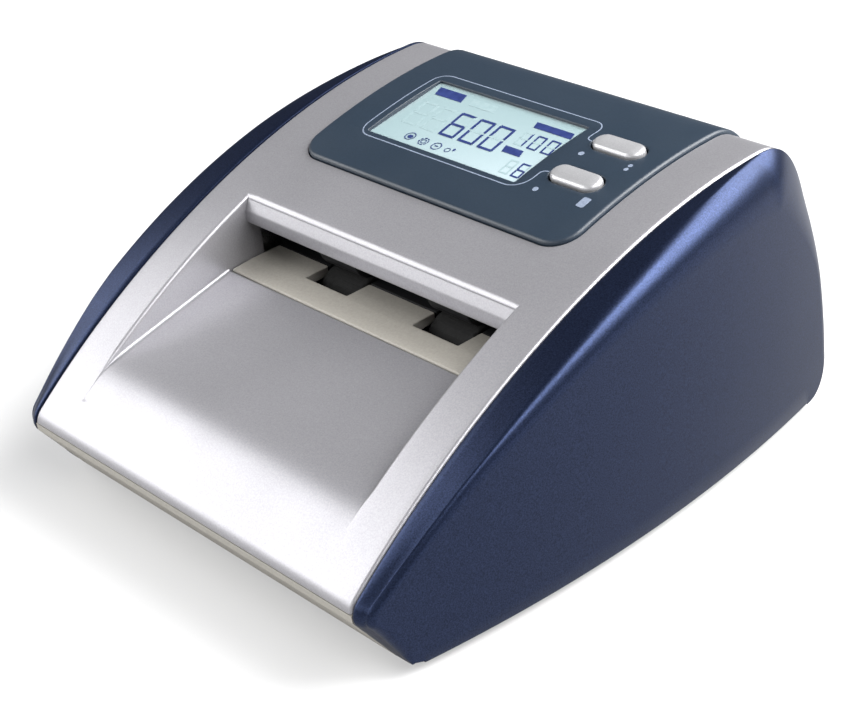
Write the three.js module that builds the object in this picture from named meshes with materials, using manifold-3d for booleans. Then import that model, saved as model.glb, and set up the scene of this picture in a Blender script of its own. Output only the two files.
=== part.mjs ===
// Banknote counting machine: a desktop unit that draws single notes through a level path.
// Millimetres, +Z up, the front faces -Y, and the origin is the middle of the underside box.
import * as THREE from 'three';
import { mergeVertices } from 'three/addons/utils/BufferGeometryUtils.js';
import Module from 'manifold-3d';

const wasm = await Module();
wasm.setup();

// ---- driving dimensions ----
const GAP = 0.3;
const WALL = 2.2;
const BASE_Z = 2.5;
const COVER_HALF = 52;
const COVER_EDGE = COVER_HALF - 0.15;

// side view of the body
const NOSE_CENTRE = [-61.75, 16];
const NOSE_RADIUS = 4.5;
const NOSE_END_ANGLE = 130;
const CHIN_TOP = [-66.05, 15];
const CHIN_FOOT = [-57.4, BASE_Z];
const STRIP_TOP_Z = 16.6;
const ARCH = [[-64.6, 19.45], [-35.4, 43.8], [8.1, 63.7], [48, 63.9]];
const CREST = [[48, 63.9], [55.5, 63.9], [58.4, 56.5], [60, 50]];
const BACK = [[60, 50], [62.7, 40.5], [66.25, 27], [66.25, 10.4]];
const BACK_CORNER = [58.35, 10.4];
const BACK_CORNER_RADIUS = 7.9;
const REAR_SEAM_Z = 45;

// plan view of the side panels: one shallow arc bulging outwards
const BULGE_RADIUS = 325;
const BULGE_X = 61.57;
const BULGE_Y = -4.7;

// tray, slot and note path
const TRAY_HALF = 41.1;
const TRAY_WALL = 2;
const TRAY_FLOOR_FRONT = [-52.5, 28.4];
const TRAY_FLOOR_REAR = [-18.5, 36.5];
const LINTEL_Y = -10.9;
const LINTEL_Z = 45.3;
const PATH_FLOOR_Z = 37;
const PATH_ROOF_Z = 39.4;
const GUIDE_THICKNESS = 2;
const GUIDE_HALF = 40.8;
const LIP_REAR_Y = -4.9;
const PATH_REAR_Y = 59;

// display and keys
const BEZEL_HALF = 40;
const BEZEL_FRONT_Y = 3.3;
const BEZEL_REAR_Y = 57;
const BEZEL_RAISE = 0.9;
const BEZEL_CORNER = 6;
const DISPLAY_TILT = THREE.MathUtils.degToRad(9.4);
const DISPLAY_CENTRE = [-6.3, 25.2, 62.25];
const DISPLAY_SIZE = [44.6, 21.4];
const KEY_X = 27.7;
const KEY_ROWS = [20.8, 33.3];
const KEY_SIZE = [12, 5.4];
const KEY_NAMES = ['lower', 'upper'];

// drive train
const SHAFT_Z = 30.3;
const FRONT_SHAFT_Y = -2.5;
const GEAR_MODULE = 0.8;
const SHAFT_TEETH = 24;
const IDLER_TEETH = 32;
const PINION_TEETH = 12;
const pitchRadius = (teeth) => GEAR_MODULE * teeth / 2;
const IDLER_Y = FRONT_SHAFT_Y + pitchRadius(SHAFT_TEETH + IDLER_TEETH);
const REAR_SHAFT_Y = IDLER_Y + pitchRadius(SHAFT_TEETH + IDLER_TEETH);
const MOTOR_Z = 16;
const MOTOR_DROP = SHAFT_Z - MOTOR_Z;
const PINION_DISTANCE = pitchRadius(IDLER_TEETH + PINION_TEETH);
const MOTOR_Y = IDLER_Y + Math.sqrt(PINION_DISTANCE ** 2 - MOTOR_DROP ** 2);
const GEAR_X = [-48.5, -45];
const FEED_RADIUS = 7;
const SHAFT_RADIUS = 2;
const PINCH_RADIUS = 5;
const PINCH_Z = SHAFT_Z + FEED_RADIUS + GAP + PINCH_RADIUS;
const ROLLER_X = [11, 23];
const PLATE_X = 42.6;
const PLATE_THICKNESS = 1.2;
const PLATE_Y = [-8, 50];

// rear sockets, feet and screws
const SOCKET_Z = 17;
const SOCKET_FACE_Y = 65.4;
const SWITCH_X = -33;
const ROCKER_PIVOT_Y = 62;
const ROCKER_TILT = THREE.MathUtils.degToRad(7.5);
const PORT_X = 14;
const JACK_X = 33;
const FOOT_PLACES = [[-44, -46], [44, -46], [-44, 47], [44, 47]];
const FOOT_RADIUS = 6;
const SCREW_PLACES = [[-51.5, -33], [51.5, -33], [-51.5, 33], [51.5, 33]];

// ---- finishes ----
const finish = (color, roughness, metalness = 0) => (
  new THREE.MeshStandardMaterial({ color, roughness, metalness })
);
const FINISHES = {
  silver: finish('#a3a2a8', 0.38, 0.6),
  navy: finish('#1d2846', 0.32, 0.4),
  beige: finish('#b3afa7', 0.6),
  slate: finish('#33414f', 0.42),
  display: finish('#bccdd2', 0.25),
  key: finish('#b2b2b4', 0.35, 0.5),
  black: finish('#191a1c', 0.6),
  rubber: finish('#1b1b1b', 0.85),
  steel: finish('#b4b6b8', 0.3, 1),
  acetal: finish('#e4e2da', 0.45),
  board: finish('#1f5a38', 0.5),
  brass: finish('#b99a55', 0.35, 1),
};

// ---- solids ----
function solidOf(geometry) {
  const bare = geometry.index ? geometry.toNonIndexed() : geometry;
  bare.deleteAttribute('normal');
  bare.deleteAttribute('uv');
  const merged = mergeVertices(bare, 1e-5);
  return new wasm.Manifold(new wasm.Mesh({
    numProp: 3,
    vertProperties: new Float32Array(merged.attributes.position.array),
    triVerts: new Uint32Array(merged.index.array),
  }));
}

function geometryOf(solid) {
  const mesh = solid.getMesh();
  const geometry = new THREE.BufferGeometry();
  geometry.setAttribute('position', new THREE.BufferAttribute(mesh.vertProperties, 3));
  geometry.setIndex(new THREE.BufferAttribute(mesh.triVerts, 1));
  geometry.computeVertexNormals();
  return geometry;
}

const joined = (...solids) => solids.reduce((all, next) => all.add(next));
const without = (body, ...cuts) => cuts.reduce((left, cut) => left.subtract(cut), body);

function box([x0, x1], [y0, y1], [z0, z1]) {
  const geometry = new THREE.BoxGeometry(x1 - x0, y1 - y0, z1 - z0);
  return solidOf(geometry.translate((x0 + x1) / 2, (y0 + y1) / 2, (z0 + z1) / 2));
}

// a cylinder along X, Y or Z from one end to the other
function rod(axis, radius, [from, to], [a, b], segments = 32) {
  const geometry = new THREE.CylinderGeometry(radius, radius, to - from, segments);
  const middle = (from + to) / 2;
  if (axis === 'x') geometry.rotateZ(-Math.PI / 2).translate(middle, a, b);
  if (axis === 'y') geometry.translate(a, middle, b);
  if (axis === 'z') geometry.rotateX(Math.PI / 2).translate(a, b, middle);
  return solidOf(geometry);
}

function outlineOf(points) {
  return new THREE.Shape(points.map(([u, v]) => new THREE.Vector2(u, v)));
}

// an outline in the YZ plane drawn out along X
function prismX(points, [x0, x1]) {
  const settings = { depth: x1 - x0, bevelEnabled: false };
  const geometry = new THREE.ExtrudeGeometry(outlineOf(points), settings);
  const turn = new THREE.Matrix4().makeBasis(
    new THREE.Vector3(0, 1, 0),
    new THREE.Vector3(0, 0, 1),
    new THREE.Vector3(1, 0, 0),
  );
  return solidOf(geometry.applyMatrix4(turn).translate(x0, 0, 0));
}

// an outline in the XY plane drawn out along Z
function prismZ(points, [z0, z1]) {
  const settings = { depth: z1 - z0, bevelEnabled: false };
  const geometry = new THREE.ExtrudeGeometry(outlineOf(points), settings);
  return solidOf(geometry.translate(0, 0, z0));
}

function roundedRectangle([x0, x1], [y0, y1], radii, steps = 5) {
  const corners = [
    [x1, y1, -1, -1, 0],
    [x0, y1, 1, -1, 90],
    [x0, y0, 1, 1, 180],
    [x1, y0, -1, 1, 270],
  ];
  return corners.flatMap(([x, y, sx, sy, start], k) => {
    const radius = Array.isArray(radii) ? radii[k] : radii;
    return arc([x + sx * radius, y + sy * radius], radius, start, start + 90, steps);
  });
}

function arc([cx, cy], radius, startDegrees, endDegrees, steps) {
  return Array.from({ length: steps + 1 }, (_, k) => {
    const share = startDegrees + (endDegrees - startDegrees) * k / steps;
    const angle = THREE.MathUtils.degToRad(share);
    return [cx + radius * Math.cos(angle), cy + radius * Math.sin(angle)];
  });
}

function bezier(points, steps) {
  const curve = new THREE.CubicBezierCurve(...points.map(([u, v]) => new THREE.Vector2(u, v)));
  return curve.getPoints(steps).map((p) => [p.x, p.y]);
}

// ---- the body's side view ----
const noseArc = () => arc(NOSE_CENTRE, NOSE_RADIUS, 180, NOSE_END_ANGLE, 5);
const backCorner = () => arc(BACK_CORNER, BACK_CORNER_RADIUS, 0, -90, 6);
const upperLine = () => [
  ...noseArc(),
  ...bezier(ARCH, 22).slice(1),
  ...bezier(CREST, 6).slice(1),
  ...bezier(BACK, 5).slice(1),
  ...backCorner().slice(1),
];
const bodyLine = () => [CHIN_FOOT, CHIN_TOP, ...upperLine()];

// moves every point of an open line to its right-hand side
function inset(line, distance) {
  return line.map((point, k) => {
    const before = line[Math.max(k - 1, 0)];
    const after = line[Math.min(k + 1, line.length - 1)];
    const along = new THREE.Vector2(after[0] - before[0], after[1] - before[1]).normalize();
    return [point[0] + along.y * distance, point[1] - along.x * distance];
  });
}

// a curved wall that follows the upper line between two depths
function shell(half, outside = 0, inside = WALL) {
  const line = upperLine();
  return prismX([...inset(line, outside), ...inset(line, inside).reverse()], [-half, half]);
}

const bodySolid = () => prismX(bodyLine(), [-COVER_EDGE, COVER_EDGE]);

// ---- casings ----
const slope = (TRAY_FLOOR_REAR[1] - TRAY_FLOOR_FRONT[1]) / (TRAY_FLOOR_REAR[0] - TRAY_FLOOR_FRONT[0]);
const trayFloorAt = (y) => TRAY_FLOOR_FRONT[1] + slope * (y - TRAY_FLOOR_FRONT[0]);

function trayBlock() {
  const reach = TRAY_HALF + TRAY_WALL;
  const front = TRAY_FLOOR_FRONT[0] - 2;
  const rear = TRAY_FLOOR_REAR[0];
  const back = LINTEL_Y + WALL;
  const block = prismX([
    [front, trayFloorAt(front) - TRAY_WALL],
    [rear, trayFloorAt(rear) - TRAY_WALL],
    [back, trayFloorAt(rear) - TRAY_WALL],
    [back, 70],
    [front, 70],
  ], [-reach, reach]);
  return block.intersect(bodySolid());
}

function trayCut() {
  const back = LINTEL_Y + WALL + 1;
  return prismX([
    [-70, trayFloorAt(-70)],
    TRAY_FLOOR_REAR,
    [TRAY_FLOOR_REAR[0], 20],
    [back, 20],
    [back, LINTEL_Z],
    [LINTEL_Y, LINTEL_Z],
    [LINTEL_Y, 90],
    [-70, 90],
  ], [-TRAY_HALF, TRAY_HALF]);
}

function bezelPlan(grow) {
  const half = BEZEL_HALF + grow;
  const radius = BEZEL_CORNER + grow;
  const ends = [BEZEL_FRONT_Y - grow, BEZEL_REAR_Y + grow];
  return prismZ(roundedRectangle([-half, half], ends, [2, 2, radius, radius]), [50, 80]);
}

function topCover() {
  const trimmed = without(
    shell(COVER_EDGE),
    box([-60, 60], [-70, -60], [0, STRIP_TOP_Z + GAP]),
    box([-60, 60], [45, 80], [0, REAR_SEAM_Z]),
  );
  return without(joined(trimmed, trayBlock()), trayCut(), bezelPlan(GAP));
}

function baseCover() {
  const floorTop = BASE_Z + WALL;
  const bent = prismX([
    CHIN_FOOT,
    [BACK_CORNER[0] - GAP, BASE_Z],
    [BACK_CORNER[0] - GAP, floorTop],
    [CHIN_FOOT[0] + 1.4, floorTop],
    [CHIN_TOP[0] + WALL, CHIN_TOP[1] + 1],
    [CHIN_TOP[0] + WALL, STRIP_TOP_Z],
    [-66.18, STRIP_TOP_Z],
    CHIN_TOP,
  ], [-COVER_EDGE, COVER_EDGE]);
  const wings = prismZ(bulgePlan(WALL + GAP + 0.2, [-54.4, 55.5]), [BASE_Z + GAP, floorTop]);
  const posts = [[-34, -46], [34, -46], [-34, -16], [34, -16]].map(([x, y]) => (
    rod('z', 2.4, [floorTop - 0.5, 7.7], [x, y], 20)
  ));
  const holes = SCREW_PLACES.flatMap(([x, y]) => [
    rod('z', 1.6, [0, 8], [x, y], 20),
    rod('z', 2.9, [0, BASE_Z + 1.3], [x, y], 24),
  ]);
  return without(joined(bent, wings, ...posts), ...holes);
}

const bulgeAt = (y) => (
  BULGE_X - BULGE_RADIUS + Math.sqrt(BULGE_RADIUS ** 2 - (y - BULGE_Y) ** 2)
);

function bulgePlan(margin, [y0, y1], steps = 12) {
  const side = Array.from({ length: steps + 1 }, (_, k) => {
    const y = y0 + (y1 - y0) * k / steps;
    return [bulgeAt(y) - margin, y];
  });
  return [...side, ...side.map(([x, y]) => [-x, y]).reverse()];
}

function rearCover() {
  return without(
    shell(COVER_EDGE).intersect(box([-60, 60], [45, 80], [0, REAR_SEAM_Z - GAP])),
    box([-TRAY_HALF, TRAY_HALF], [50, 80], [PATH_FLOOR_Z - 1.5, PATH_ROOF_Z + 1]),
    box([SWITCH_X - 7, SWITCH_X + 7], [50, 80], [SOCKET_Z - 5, SOCKET_Z + 5]),
    box([PORT_X - 4.6, PORT_X + 4.6], [50, 80], [SOCKET_Z - 2.6, SOCKET_Z + 2.6]),
    rod('y', 4.6, [50, 80], [JACK_X, SOCKET_Z], 28),
  );
}

// ---- side panels: rows run from the seam, over the shoulder and down the bulged face ----
const SHOULDER_STEPS = 5;
const FACE_ROWS = 5;

// how far the flush facet beside the seam reaches, how far it drops, and how its outer edge rounds
function shoulderAt([y, z]) {
  if (y > 48) {
    const share = THREE.MathUtils.smoothstep(z, 30, 63);
    return { reach: 0.3, drop: 0, height: 2.4 + 6 * share, tilt: 38 * share * share };
  }
  const reach = y < -37 ? 6.6 - 0.0037 * (y + 37) ** 2 : 6.6 * (1 - ((y + 37) / 85) ** 2.2);
  const back = THREE.MathUtils.clamp((y + 66) / 114, 0, 1);
  return {
    reach: Math.max(reach, 0.3),
    drop: 0.1 + 0.039 * Math.max(0, -43 - y),
    height: 1.5 + 6.9 * back ** 1.4,
    tilt: 38 * THREE.MathUtils.clamp((y - 5) / 43, 0, 1) ** 1.5,
  };
}

// inward directions along a line, evened out so that tight bends don't fold the shoulder
function inwardWays(line) {
  const unit = inset(line, 1);
  return line.map((_, k) => {
    const way = new THREE.Vector2();
    for (let n = Math.max(0, k - 2); n <= Math.min(line.length - 1, k + 2); n += 1) {
      way.add(new THREE.Vector2(unit[n][0] - line[n][0], unit[n][1] - line[n][1]));
    }
    return way.normalize().toArray();
  });
}

function shoulderRow([y, z], [downY, downZ]) {
  const { reach, drop, height, tilt } = shoulderAt([y, z]);
  const room = bulgeAt(y) - COVER_HALF;
  const facet = Math.min(reach, room - 0.6 * Math.min(height, 1.6));
  const first = THREE.MathUtils.degToRad(tilt);
  const row = [[COVER_HALF + 0.15, y, z]];
  for (let s = 0; s <= SHOULDER_STEPS; s += 1) {
    const angle = first + (Math.PI / 2 - first) * s / SHOULDER_STEPS;
    const depth = drop + height * (Math.cos(first) - Math.cos(angle)) / Math.cos(first);
    const share = (Math.sin(angle) - Math.sin(first)) / (1 - Math.sin(first));
    const py = y + downY * depth;
    const start = COVER_HALF + facet;
    row.push([start + (bulgeAt(py) - start) * share, py, Math.max(z + downZ * depth, BASE_Z)]);
  }
  return row;
}

function panelRows(line, side) {
  const last = line.length - 1;
  const ways = inwardWays(line);
  return line.map(([y, z], k) => {
    const targetY = THREE.MathUtils.clamp(y, CHIN_FOOT[0] + 2, BACK_CORNER[0] - 2);
    const flat = k === 0 || k === last;
    const placed = shoulderRow([y, z], flat ? [Math.sign(targetY - y), 0] : ways[k]);
    if (flat) placed.forEach((point) => { point[2] = BASE_Z; });
    const [, ey, ez] = placed[placed.length - 1];
    for (let r = 1; r <= FACE_ROWS; r += 1) {
      const py = ey + (targetY - ey) * r / FACE_ROWS;
      placed.push([bulgeAt(py), py, ez + (BASE_Z - ez) * r / FACE_ROWS]);
    }
    return placed.map(([x, py, pz]) => new THREE.Vector3(x * side, py, pz));
  });
}

// a wall between an outer and an inner grid of points, closed round its rim
function wallBetween(outer, inner, flip) {
  const columns = outer.length;
  const rows = outer[0].length;
  const points = [...outer.flat(), ...inner.flat()];
  const index = (layer, c, r) => layer * columns * rows + c * rows + r;
  const faces = [];
  const quad = (a, b, c, d) => faces.push([a, b, c], [a, c, d]);
  for (let c = 0; c < columns - 1; c += 1) {
    for (let r = 0; r < rows - 1; r += 1) {
      quad(index(0, c, r), index(0, c + 1, r), index(0, c + 1, r + 1), index(0, c, r + 1));
      quad(index(1, c, r), index(1, c, r + 1), index(1, c + 1, r + 1), index(1, c + 1, r));
    }
    quad(index(0, c, 0), index(1, c, 0), index(1, c + 1, 0), index(0, c + 1, 0));
    const end = rows - 1;
    quad(index(0, c, end), index(0, c + 1, end), index(1, c + 1, end), index(1, c, end));
  }
  for (let r = 0; r < rows - 1; r += 1) {
    const end = columns - 1;
    quad(index(0, 0, r), index(0, 0, r + 1), index(1, 0, r + 1), index(1, 0, r));
    quad(index(0, end, r), index(1, end, r), index(1, end, r + 1), index(0, end, r + 1));
  }
  const positions = [];
  for (const [a, b, c] of faces) {
    const order = flip ? [a, c, b] : [a, b, c];
    for (const k of order) positions.push(...points[k].toArray());
  }
  const geometry = new THREE.BufferGeometry();
  geometry.setAttribute('position', new THREE.Float32BufferAttribute(positions, 3));
  return solidOf(geometry);
}

function sidePanel(side) {
  const line = bodyLine();
  const outer = panelRows(line, side);
  const inner = panelRows(inset(line, WALL), side).map((row, k) => row.map((point, r) => {
    const shrunk = Math.abs(point.x) - WALL * Math.min(1, r / 3);
    const x = side * Math.max(shrunk, COVER_HALF + 0.15);
    const onFloor = k === 0 || k === line.length - 1 || r === row.length - 1;
    return new THREE.Vector3(x, point.y, onFloor ? BASE_Z : Math.max(point.z, BASE_Z + 0.01));
  }));
  const wall = wallBetween(outer, inner, side > 0);
  const bosses = SCREW_PLACES.filter(([x]) => Math.sign(x) === side).map(([x, y]) => {
    const ends = [Math.abs(x) - 2.6, 58.6].map((v) => v * side).sort((a, b) => a - b);
    const boss = box(ends, [y - 3.4, y + 3.4], [BASE_Z + WALL + GAP, 13]);
    return boss.subtract(rod('z', 1.5, [0, 11.5], [x, y], 20));
  });
  return joined(wall, ...bosses);
}

// ---- display and keys, in a frame tilted with the display ----
function tilted(solid) {
  return solidOf(geometryOf(solid)
    .rotateX(DISPLAY_TILT)
    .translate(...DISPLAY_CENTRE));
}

const displayBox = (dx, dy, z) => {
  const [w, d] = DISPLAY_SIZE;
  return box([-w / 2 - dx, w / 2 + dx], [-d / 2 - dy, d / 2 + dy], z);
};

function keyShape(row, grow, z) {
  const [length, width] = KEY_SIZE.map((v) => v + 2 * grow);
  const x = KEY_X - DISPLAY_CENTRE[0];
  const y = (KEY_ROWS[row] - DISPLAY_CENTRE[1]) / Math.cos(DISPLAY_TILT);
  const ends = [x - length / 2, x + length / 2];
  return prismZ(roundedRectangle(ends, [y - width / 2, y + width / 2], width / 2 - 0.01, 8), z);
}

function displayBezel() {
  const plate = shell(BEZEL_HALF, -BEZEL_RAISE).intersect(bezelPlan(0));
  return without(
    plate,
    tilted(displayBox(0, 0, [-6, 6])),
    tilted(displayBox(1.8, 1.8, [-8, -1.1])),
    ...KEY_ROWS.map((_, row) => tilted(keyShape(row, 0.35, [-8, 8]))),
  );
}

const displayPanel = () => tilted(joined(
  displayBox(1.4, 1.4, [-3.2, -1.4]),
  displayBox(-0.3, -0.3, [-1.6, -0.7]),
));
const displayFrame = () => tilted(without(
  displayBox(1.4, 1.4, [-6.2, -3.5]),
  displayBox(-1.2, -1.2, [-7, -5]),
));
const controlBoard = () => tilted(box([-25, 43], [-14.5, 15], [-8.2, -6.6]));
const key = (row) => tilted(joined(
  keyShape(row, 0, [-1.2, 1.2]),
  keyShape(row, -1.6, [-3.6, -0.8]),
));

function keySwitch(row) {
  const x = KEY_X - DISPLAY_CENTRE[0];
  const y = (KEY_ROWS[row] - DISPLAY_CENTRE[1]) / Math.cos(DISPLAY_TILT);
  return tilted(joined(
    box([x - 3, x + 3], [y - 3, y + 3], [-6.3, -4.9]),
    rod('z', 1.6, [-5, -4.4], [x, y], 20),
  ));
}

// ---- note path ----
const mirrored = (shape) => [shape(1), shape(-1)];
const spanX = ([a, b], side, grow = 0) => (
  side > 0 ? [a - grow, b + grow] : [-b - grow, -a + grow]
);

function entryLip() {
  const top = TRAY_FLOOR_REAR[1];
  const plate = prismX([
    [TRAY_FLOOR_REAR[0] + GAP, top - GUIDE_THICKNESS],
    [LIP_REAR_Y, PATH_FLOOR_Z - GUIDE_THICKNESS],
    [LIP_REAR_Y, PATH_FLOOR_Z],
    [-12, PATH_FLOOR_Z],
    [TRAY_FLOOR_REAR[0] + GAP, top],
  ], [-GUIDE_HALF, GUIDE_HALF]);
  const notches = mirrored((side) => (
    box(spanX(ROLLER_X, side, 0.8), [-11.3, 10], [20, 50])
  ));
  return without(plate, ...notches);
}

function lowerGuide() {
  const front = LIP_REAR_Y + GAP;
  const plate = joined(
    box([-GUIDE_HALF, GUIDE_HALF], [front, PATH_REAR_Y], [PATH_FLOOR_Z - GUIDE_THICKNESS, PATH_FLOOR_Z]),
    ...mirrored((side) => (
      box(spanX([GUIDE_HALF - 1.4, GUIDE_HALF], side), [8, 38], [31.5, 36])
    )),
  );
  const windows = mirrored((side) => joined(
    box(spanX(ROLLER_X, side, 0.8), [-20, FRONT_SHAFT_Y + 7.5], [30, 40]),
    box(spanX(ROLLER_X, side, 0.8), [REAR_SHAFT_Y - 7.5, REAR_SHAFT_Y + 7.5], [30, 40]),
  ));
  return without(plate, ...windows, box([-6.4, 6.4], [12.6, 23.4], [30, 40]));
}

// the roof of the note path, with a bearing block on each side of every pinch roller
function upperGuide() {
  const plate = prismX([
    [-1, PATH_ROOF_Z],
    [PATH_REAR_Y, PATH_ROOF_Z],
    [PATH_REAR_Y, PATH_ROOF_Z + GUIDE_THICKNESS],
    [-1, PATH_ROOF_Z + GUIDE_THICKNESS],
    [-8.3, LINTEL_Z + 1.4],
    [-8.3, LINTEL_Z - 0.5],
  ], [-GUIDE_HALF, GUIDE_HALF]);
  const places = [FRONT_SHAFT_Y, REAR_SHAFT_Y];
  const windows = places.flatMap((y) => mirrored((side) => (
    box(spanX(ROLLER_X, side, 0.8), [y - 5.6, y + 5.6], [30, 50])
  )));
  const blocks = places.flatMap((y) => mirrored((side) => joined(
    ...[[8.4, 10.2], [23.8, 25.6]].map((span) => (
      box(spanX(span, side), [y - 2.6, y + 2.6], [PINCH_Z - 1.9, PINCH_Z + 3.4])
    )),
  )));
  const bores = places.flatMap((y) => mirrored((side) => (
    rod('x', 1.35, spanX([7.5, 26.5], side), [y, PINCH_Z], 28)
  )));
  const sensorWindow = box([-30, 30], [15, 21], [30, 50]);
  return without(joined(without(plate, ...windows, sensorWindow), ...blocks), ...bores);
}

function pinchRoller(y, side) {
  return joined(
    rod('x', PINCH_RADIUS, spanX(ROLLER_X, side), [y, PINCH_Z], 32),
    rod('x', 1.25, spanX([9, 25], side), [y, PINCH_Z], 24),
  );
}

const feedRoller = (y, side) => without(
  rod('x', FEED_RADIUS, spanX(ROLLER_X, side), [y, SHAFT_Z], 40),
  rod('x', SHAFT_RADIUS + 0.05, [-40, 40], [y, SHAFT_Z], 24),
);
const feedShaft = (y) => rod('x', SHAFT_RADIUS, [GEAR_X[0] - 1, 46], [y, SHAFT_Z], 24);

// ---- gears ----
function gearOutline(teeth, phase) {
  const radius = pitchRadius(teeth);
  const pitch = 2 * Math.PI / teeth;
  const ring = [
    [-0.27, radius - 1.25 * GEAR_MODULE],
    [-0.105, radius + 0.9 * GEAR_MODULE],
    [0.105, radius + 0.9 * GEAR_MODULE],
    [0.27, radius - 1.25 * GEAR_MODULE],
  ];
  return Array.from({ length: teeth }, (_, k) => ring.map(([share, r]) => {
    const angle = phase + (k + share) * pitch;
    return [r * Math.cos(angle), r * Math.sin(angle)];
  })).flat();
}

function gear(teeth, phase, [y, z], bore) {
  const outline = gearOutline(teeth, phase).map(([u, v]) => [u + y, v + z]);
  const wheel = prismX(outline, GEAR_X);
  const hub = rod('x', bore + 1.6, [GEAR_X[0], GEAR_X[1] + 0.6], [y, z], 24);
  return joined(wheel, hub).subtract(rod('x', bore, [-60, -30], [y, z], 24));
}

const halfTooth = (teeth) => Math.PI / teeth;
function pinionPhase() {
  const line = Math.atan2(MOTOR_Z - SHAFT_Z, MOTOR_Y - IDLER_Y);
  const pitch = 2 * Math.PI / IDLER_TEETH;
  const offset = line - Math.round(line / pitch) * pitch;
  const turn = offset * IDLER_TEETH / PINION_TEETH;
  return line + Math.PI + turn + halfTooth(PINION_TEETH);
}

// ---- chassis ----
function sidePlate(side) {
  const span = spanX([PLATE_X, PLATE_X + PLATE_THICKNESS], side);
  const plate = box(span, PLATE_Y, [5.2, 44.4]);
  const holes = [FRONT_SHAFT_Y, REAR_SHAFT_Y].map((y) => rod('x', 3.6, [-60, 60], [y, SHAFT_Z], 28));
  const cuts = side < 0
    ? [rod('x', 3.4, [-60, 0], [MOTOR_Y, MOTOR_Z], 28), rod('x', 1.55, [-60, 0], [IDLER_Y, SHAFT_Z], 20)]
    : [box([0, 60], [10, 30], [14, 28])];
  return without(plate, ...holes, ...cuts);
}

function bushing(y, side) {
  const flange = rod('x', 4.6, spanX([PLATE_X - 1.3, PLATE_X - GAP], side), [y, SHAFT_Z], 28);
  const sleeve = rod('x', 3.3, spanX([PLATE_X - 1, PLATE_X + 1.4], side), [y, SHAFT_Z], 28);
  return joined(flange, sleeve).subtract(rod('x', SHAFT_RADIUS + 0.1, [-60, 60], [y, SHAFT_Z], 28));
}

function idlerPin() {
  return joined(
    rod('x', 1.35, [-50, -42], [IDLER_Y, SHAFT_Z], 24),
    rod('x', 2.6, [-42.3, -41.2], [IDLER_Y, SHAFT_Z], 24),
    rod('x', 2.4, [-50, -48.9], [IDLER_Y, SHAFT_Z], 24),
  );
}

function motor() {
  const can = rod('x', 10, [-41.6, -14], [MOTOR_Y, MOTOR_Z], 40);
  const nose = rod('x', 3, [-43.5, -41], [MOTOR_Y, MOTOR_Z], 28);
  const rear = rod('x', 3.4, [-14.5, -12], [MOTOR_Y, MOTOR_Z], 28);
  return joined(can, nose, rear).subtract(rod('x', 1.3, [-60, -30], [MOTOR_Y, MOTOR_Z], 24));
}

function motorPinion() {
  const outline = gearOutline(PINION_TEETH, pinionPhase()).map(([u, v]) => [u + MOTOR_Y, v + MOTOR_Z]);
  const shaft = rod('x', 1, [-48.5, -32], [MOTOR_Y, MOTOR_Z], 20);
  return joined(prismX(outline, GEAR_X), shaft);
}

// ---- electronics ----
const magneticHead = () => joined(
  box([-6, 6], [13, 23], [28, 35.5]),
  box([-5, 5], [14.5, 21.5], [35, 36.8]),
);
const lowerSensorBoard = () => box([-38, 38], [8, 30], [26, 27.6]);
const upperSensorBoard = () => joined(
  box([-34, 34], [9, 27], [45.4, 47]),
  box([-28, 28], [15.4, 20.6], [PATH_ROOF_Z + 0.6, 45.6]),
);
const mainBoard = () => box([-38, 38], [-50, -11], [8, 9.6]);
const buzzer = () => without(
  rod('z', 6, [9.9, 16], [-24, -38], 28),
  rod('z', 1.2, [13, 20], [-24, -38], 16),
);
const chip = () => box([6, 20], [-38, -24], [9.9, 11.6]);

// ---- rear sockets ----
function switchFrame() {
  const z = [SOCKET_Z - 4.7, SOCKET_Z + 4.7];
  const outer = joined(
    box([SWITCH_X - 6.7, SWITCH_X + 6.7], [54, SOCKET_FACE_Y + 0.5], z),
  );
  return without(
    outer,
    box([SWITCH_X - 5.3, SWITCH_X + 5.3], [56, 80], [SOCKET_Z - 3.6, SOCKET_Z + 3.6]),
  );
}

// a shallow V, tipped to its off side about an upright pin
function powerRocker() {
  const shape = [[-3.2, -3], [3.2, -3], [4.6, 3], [0, 1.6], [-4.6, 3]];
  const outline = shape.map(([u, v]) => [
    SWITCH_X + u * Math.cos(ROCKER_TILT) + v * Math.sin(ROCKER_TILT),
    ROCKER_PIVOT_Y - u * Math.sin(ROCKER_TILT) + v * Math.cos(ROCKER_TILT),
  ]);
  return prismZ(outline, [SOCKET_Z - 3.2, SOCKET_Z + 3.2]);
}

function powerJack() {
  const barrel = without(
    rod('y', 4.3, [56, SOCKET_FACE_Y + 0.5], [JACK_X, SOCKET_Z], 28),
    rod('y', 3, [57.5, 80], [JACK_X, SOCKET_Z], 28),
  );
  const pin = rod('y', 1, [57, 64.4], [JACK_X, SOCKET_Z], 16);
  const block = box([JACK_X - 4.6, JACK_X + 4.6], [53, 57], [SOCKET_Z - 7, SOCKET_Z + 4.6]);
  return joined(barrel, pin, block);
}

function dataPort() {
  const shell = without(
    box([PORT_X - 4.3, PORT_X + 4.3], [57, SOCKET_FACE_Y + 0.3], [SOCKET_Z - 2.3, SOCKET_Z + 2.3]),
    box([PORT_X - 3.7, PORT_X + 3.7], [58, 80], [SOCKET_Z - 1.7, SOCKET_Z + 1.7]),
  );
  return joined(shell, box([PORT_X - 2.6, PORT_X + 2.6], [57.5, 64], [SOCKET_Z - 0.4, SOCKET_Z + 0.4]));
}

// ---- feet and screws ----
function foot([x, y]) {
  const height = BASE_Z - GAP;
  const profile = [
    [0, 0], [FOOT_RADIUS - 0.8, 0], [FOOT_RADIUS, 0.8], [FOOT_RADIUS, height], [0, height],
  ].map(([r, z]) => new THREE.Vector2(r, z));
  return solidOf(new THREE.LatheGeometry(profile, 28).rotateX(Math.PI / 2).translate(x, y, 0));
}

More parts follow.
